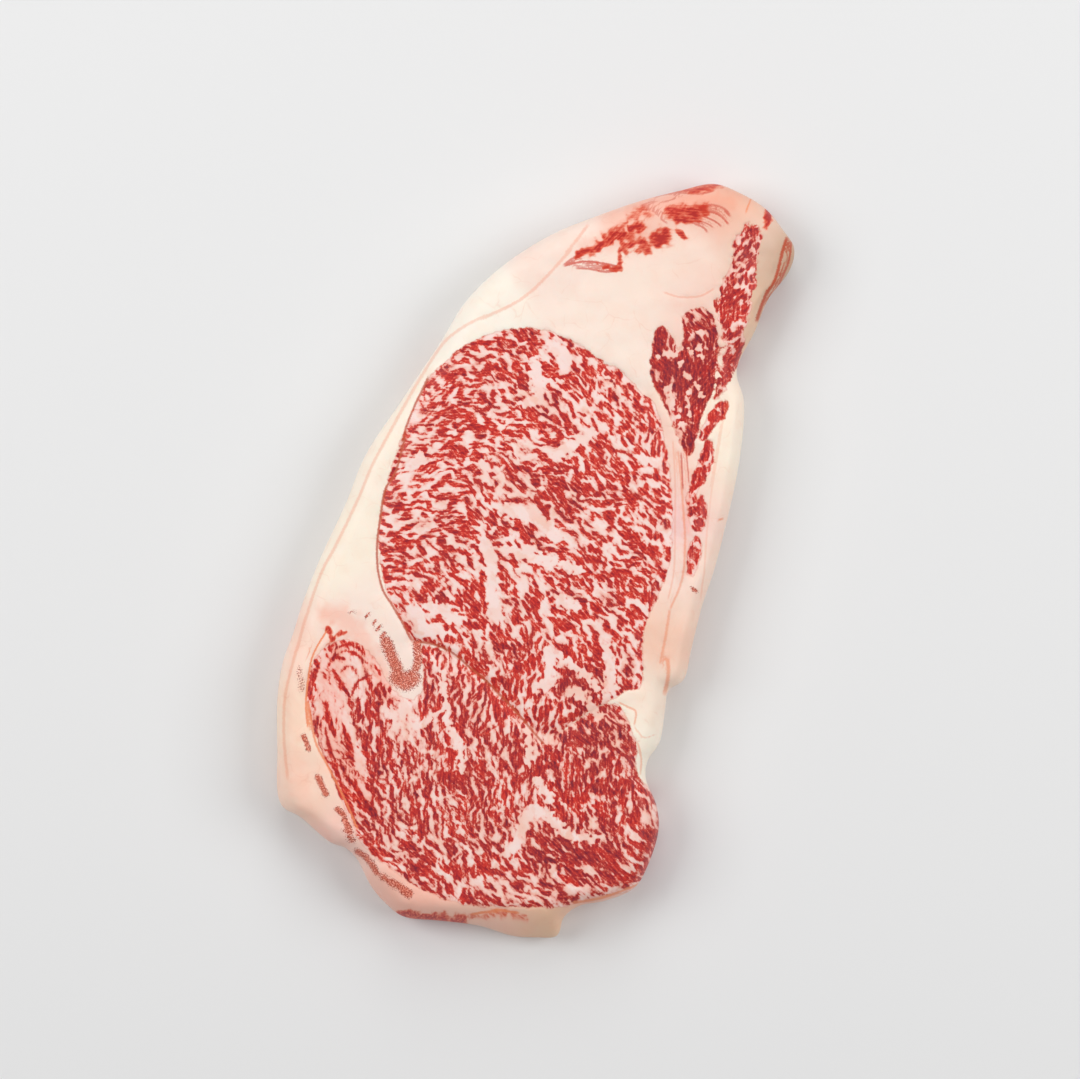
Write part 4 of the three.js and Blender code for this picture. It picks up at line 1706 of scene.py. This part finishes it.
    def bands(self, count: int, rows: int) -> np.ndarray:
        """Joins the rows of the side into triangles.

        Args:
            count: how many points a row has.
            rows: how many rows there are.

        Returns:
            One row of three points for each triangle.
        """
        i = np.arange(count)
        j = (i + 1) % count
        bands = []
        for row in range(rows - 1):
            below, above = row * count, (row + 1) * count
            bands.append(np.column_stack([below + j, below + i, above + i]))
            bands.append(np.column_stack([below + j, above + i, above + j]))
        return np.vstack(bands)

    def reading(self, skin: np.ndarray, rim: np.ndarray, angles: list[float],
                base_start: int) -> tuple[np.ndarray, np.ndarray]:
        """Says where each point of the skin reads the patterns and how much of the relief it takes.

        Above the waist the side reads the pattern straight below the eye. Further down it reads the rim's,
        drifting in slowly, as the fibres run through the slice.

        Args:
            skin: the points of the skin.
            rim: the points of the rim.
            angles: how far round the side each of its rows lies.
            base_start: where the base's points start.

        Returns:
            One place (x, y) for each point, and the share of the relief that it takes.
        """
        plan = skin[:, :2].copy()
        bare = np.ones(len(skin))
        inward = self.form.inward(rim)
        for row, angle in enumerate(angles):
            here = slice(row * len(rim), (row + 1) * len(rim))
            depth = 1 - skin[here, 2] / self.form.thickness
            drift = self.drift + self.drift_down * depth
            if angle < 0:
                plan[here] = rim
                drift = drift + self.drift_below * (angle / -QUARTER)
            plan[here] += inward * drift[:, None]
            bare[here] = math.sin(max(angle, 0.0)) ** 2
        plan[base_start:] += self.base_shift
        bare[base_start:] = 0
        return plan, bare

    def mesh(self, skin: np.ndarray, triangles: np.ndarray) -> bpy.types.Mesh:
        """Makes a smooth mesh of points and triangles."""
        mesh = bpy.data.meshes.new("steak")
        mesh.vertices.add(len(skin))
        mesh.vertices.foreach_set("co", (skin * MM).ravel())
        mesh.loops.add(triangles.size)
        mesh.loops.foreach_set("vertex_index", triangles.ravel())
        mesh.polygons.add(len(triangles))
        mesh.polygons.foreach_set("loop_start", np.arange(0, triangles.size, 3))
        mesh.polygons.foreach_set("use_smooth", np.ones(len(triangles), bool))
        mesh.update(calc_edges=True)
        mesh.validate()
        return mesh

    def spread(self, places: np.ndarray, share: float, start: float) -> np.ndarray:
        """Lays the plan of the slice out flat on the map.

        Args:
            places: places on the slice.
            share: the part of the map's width that the plan gets.
            start: where that part begins.

        Returns:
            The places on the map.
        """
        low, high = np.array(self.form.outline).min(0) - 1, np.array(self.form.outline).max(0) + 1
        x, y = ((places - low) / (high - low)).T
        gap = self.map_gap
        return np.column_stack([start + gap + x * (share - 2 * gap), gap + y * (1 - 2 * gap)])

    def unrolled(self, count: int, rows: int) -> np.ndarray:
        """Rolls the side out on the map, in strips that stand beside each other.

        Args:
            count: how many points a row of the side has.
            rows: how many rows it has.

        Returns:
            The places on the map of the side's corners.
        """
        i = np.arange(count)
        length = math.ceil(count / self.side_strips)
        strip, step = i // length, i % length
        width = (1 - self.face_share - self.base_share) / self.side_strips
        start = self.face_share + self.base_share + strip * width + self.map_gap
        parts = []
        for row in range(rows - 1):
            left, right = (start + (row + k) / (rows - 1) * (width - 2 * self.map_gap) for k in (0, 1))
            low, high = (self.map_gap + (step + k) / length * (1 - 2 * self.map_gap) for k in (0, 1))
            first = (left, high), (left, low), (right, low)
            second = (left, high), (right, low), (right, high)
            for corners in (first, second):
                parts.append(np.stack([np.column_stack(c) for c in corners], axis=1).reshape(-1, 2))
        return np.vstack(parts)

    def keep_in_box(self, mesh: bpy.types.Mesh) -> None:
        """Trims the last hundredths of a millimetre that stand out of the solid's box."""
        places = np.empty(3 * len(mesh.vertices), np.float32)
        mesh.vertices.foreach_get("co", places)
        places = np.clip(places.reshape(-1, 3), *(np.array(corner, np.float32) for corner in CAD_BOX))
        mesh.vertices.foreach_set("co", places.ravel())
        mesh.update()


@dataclass
class Studio:
    """A pale floor, soft lights from both sides and a camera straight above."""

    camera_height: float = 1200.0
    face_height: float = 18.0
    sensor: float = 36.0
    floor_size: float = 3000.0
    floor_drop: float = 0.5
    floor_colour: str = "#E9E9E9"
    floor_roughness: float = 0.9
    floor_specular: float = 0.1
    fill: float = 0.3
    # The lamps' side in metres, then their names, places in metres and watts.
    lamp_size: float = 0.8
    lamps: tuple[tuple[str, tuple[float, float, float], float], ...] = (
        ("left", (-0.9, 0.25, 0.95), 7.5), ("right", (0.95, 0.1, 0.9), 7.3), ("back", (0.0, 1.05, 0.8), 4.6),
    )

    def build(self) -> None:
        """Sets the whole studio up."""
        self.camera()
        self.floor()
        self.lights()

    def camera(self) -> None:
        """Looks straight down with the picture's scale at the cut face."""
        data = bpy.data.cameras.new("overhead")
        width = PICTURE.width_px * PICTURE.mm_per_px
        data.sensor_width = self.sensor
        data.lens = self.sensor * self.camera_height / width
        data.clip_end = 10.0
        camera = bpy.data.objects.new("overhead", data)
        middle = PICTURE.to_mm([(PICTURE.width_px / 2, PICTURE.height_px / 2)])[0]
        camera.location = (middle[0] * MM, middle[1] * MM, (self.face_height + self.camera_height) * MM)
        bpy.context.scene.collection.objects.link(camera)
        bpy.context.scene.camera = camera

    def floor(self) -> None:
        """Lays a matt pale board under the slice."""
        half = self.floor_size / 2 * MM
        mesh = bpy.data.meshes.new("floor")
        mesh.from_pydata([(-half, -half, 0), (half, -half, 0), (half, half, 0), (-half, half, 0)], [],
                         [(0, 1, 2, 3)])
        material = bpy.data.materials.new("matt pale board")
        material.use_nodes = True
        surface = material.node_tree.nodes["Principled BSDF"]
        surface.inputs["Base Color"].default_value = (*srgb(self.floor_colour), 1)
        surface.inputs["Roughness"].default_value = self.floor_roughness
        surface.inputs["Specular IOR Level"].default_value = self.floor_specular
        mesh.materials.append(material)
        floor = bpy.data.objects.new("floor", mesh)
        floor.location.z = -self.floor_drop * MM
        bpy.context.scene.collection.objects.link(floor)

    def lights(self) -> None:
        """Hangs soft boxes at both sides and fills in from all round."""
        scene = bpy.context.scene
        scene.view_settings.view_transform = "Standard"
        world = bpy.data.worlds.new("studio")
        scene.world = world
        world.use_nodes = True
        background = world.node_tree.nodes["Background"]
        background.inputs["Color"].default_value = (1, 1, 1, 1)
        background.inputs["Strength"].default_value = self.fill
        for name, place, power in self.lamps:
            data = bpy.data.lights.new(name, "AREA")
            data.shape = "RECTANGLE"
            data.size = self.lamp_size
            data.size_y = self.lamp_size
            data.energy = power
            lamp = bpy.data.objects.new(name, data)
            lamp.location = place
            lamp.rotation_euler = (-Vector(place)).to_track_quat("-Z", "Y").to_euler()
            scene.collection.objects.link(lamp)


def main() -> None:
    """Builds the steak and the studio, puts the piece under its body and hides the solid's own part."""
    logging.basicConfig(level=logging.INFO, format="%(name)s %(message)s")
    form = SliceForm()
    face = CutFace(Raster(seed=7))
    face.build()
    log.info("cut face laid out")
    piece = Slice(form, face, DampRawBeef()).build()
    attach(piece, BODY)
    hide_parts(NODE)
    Studio().build()


if __name__ == "__main__":
    main()
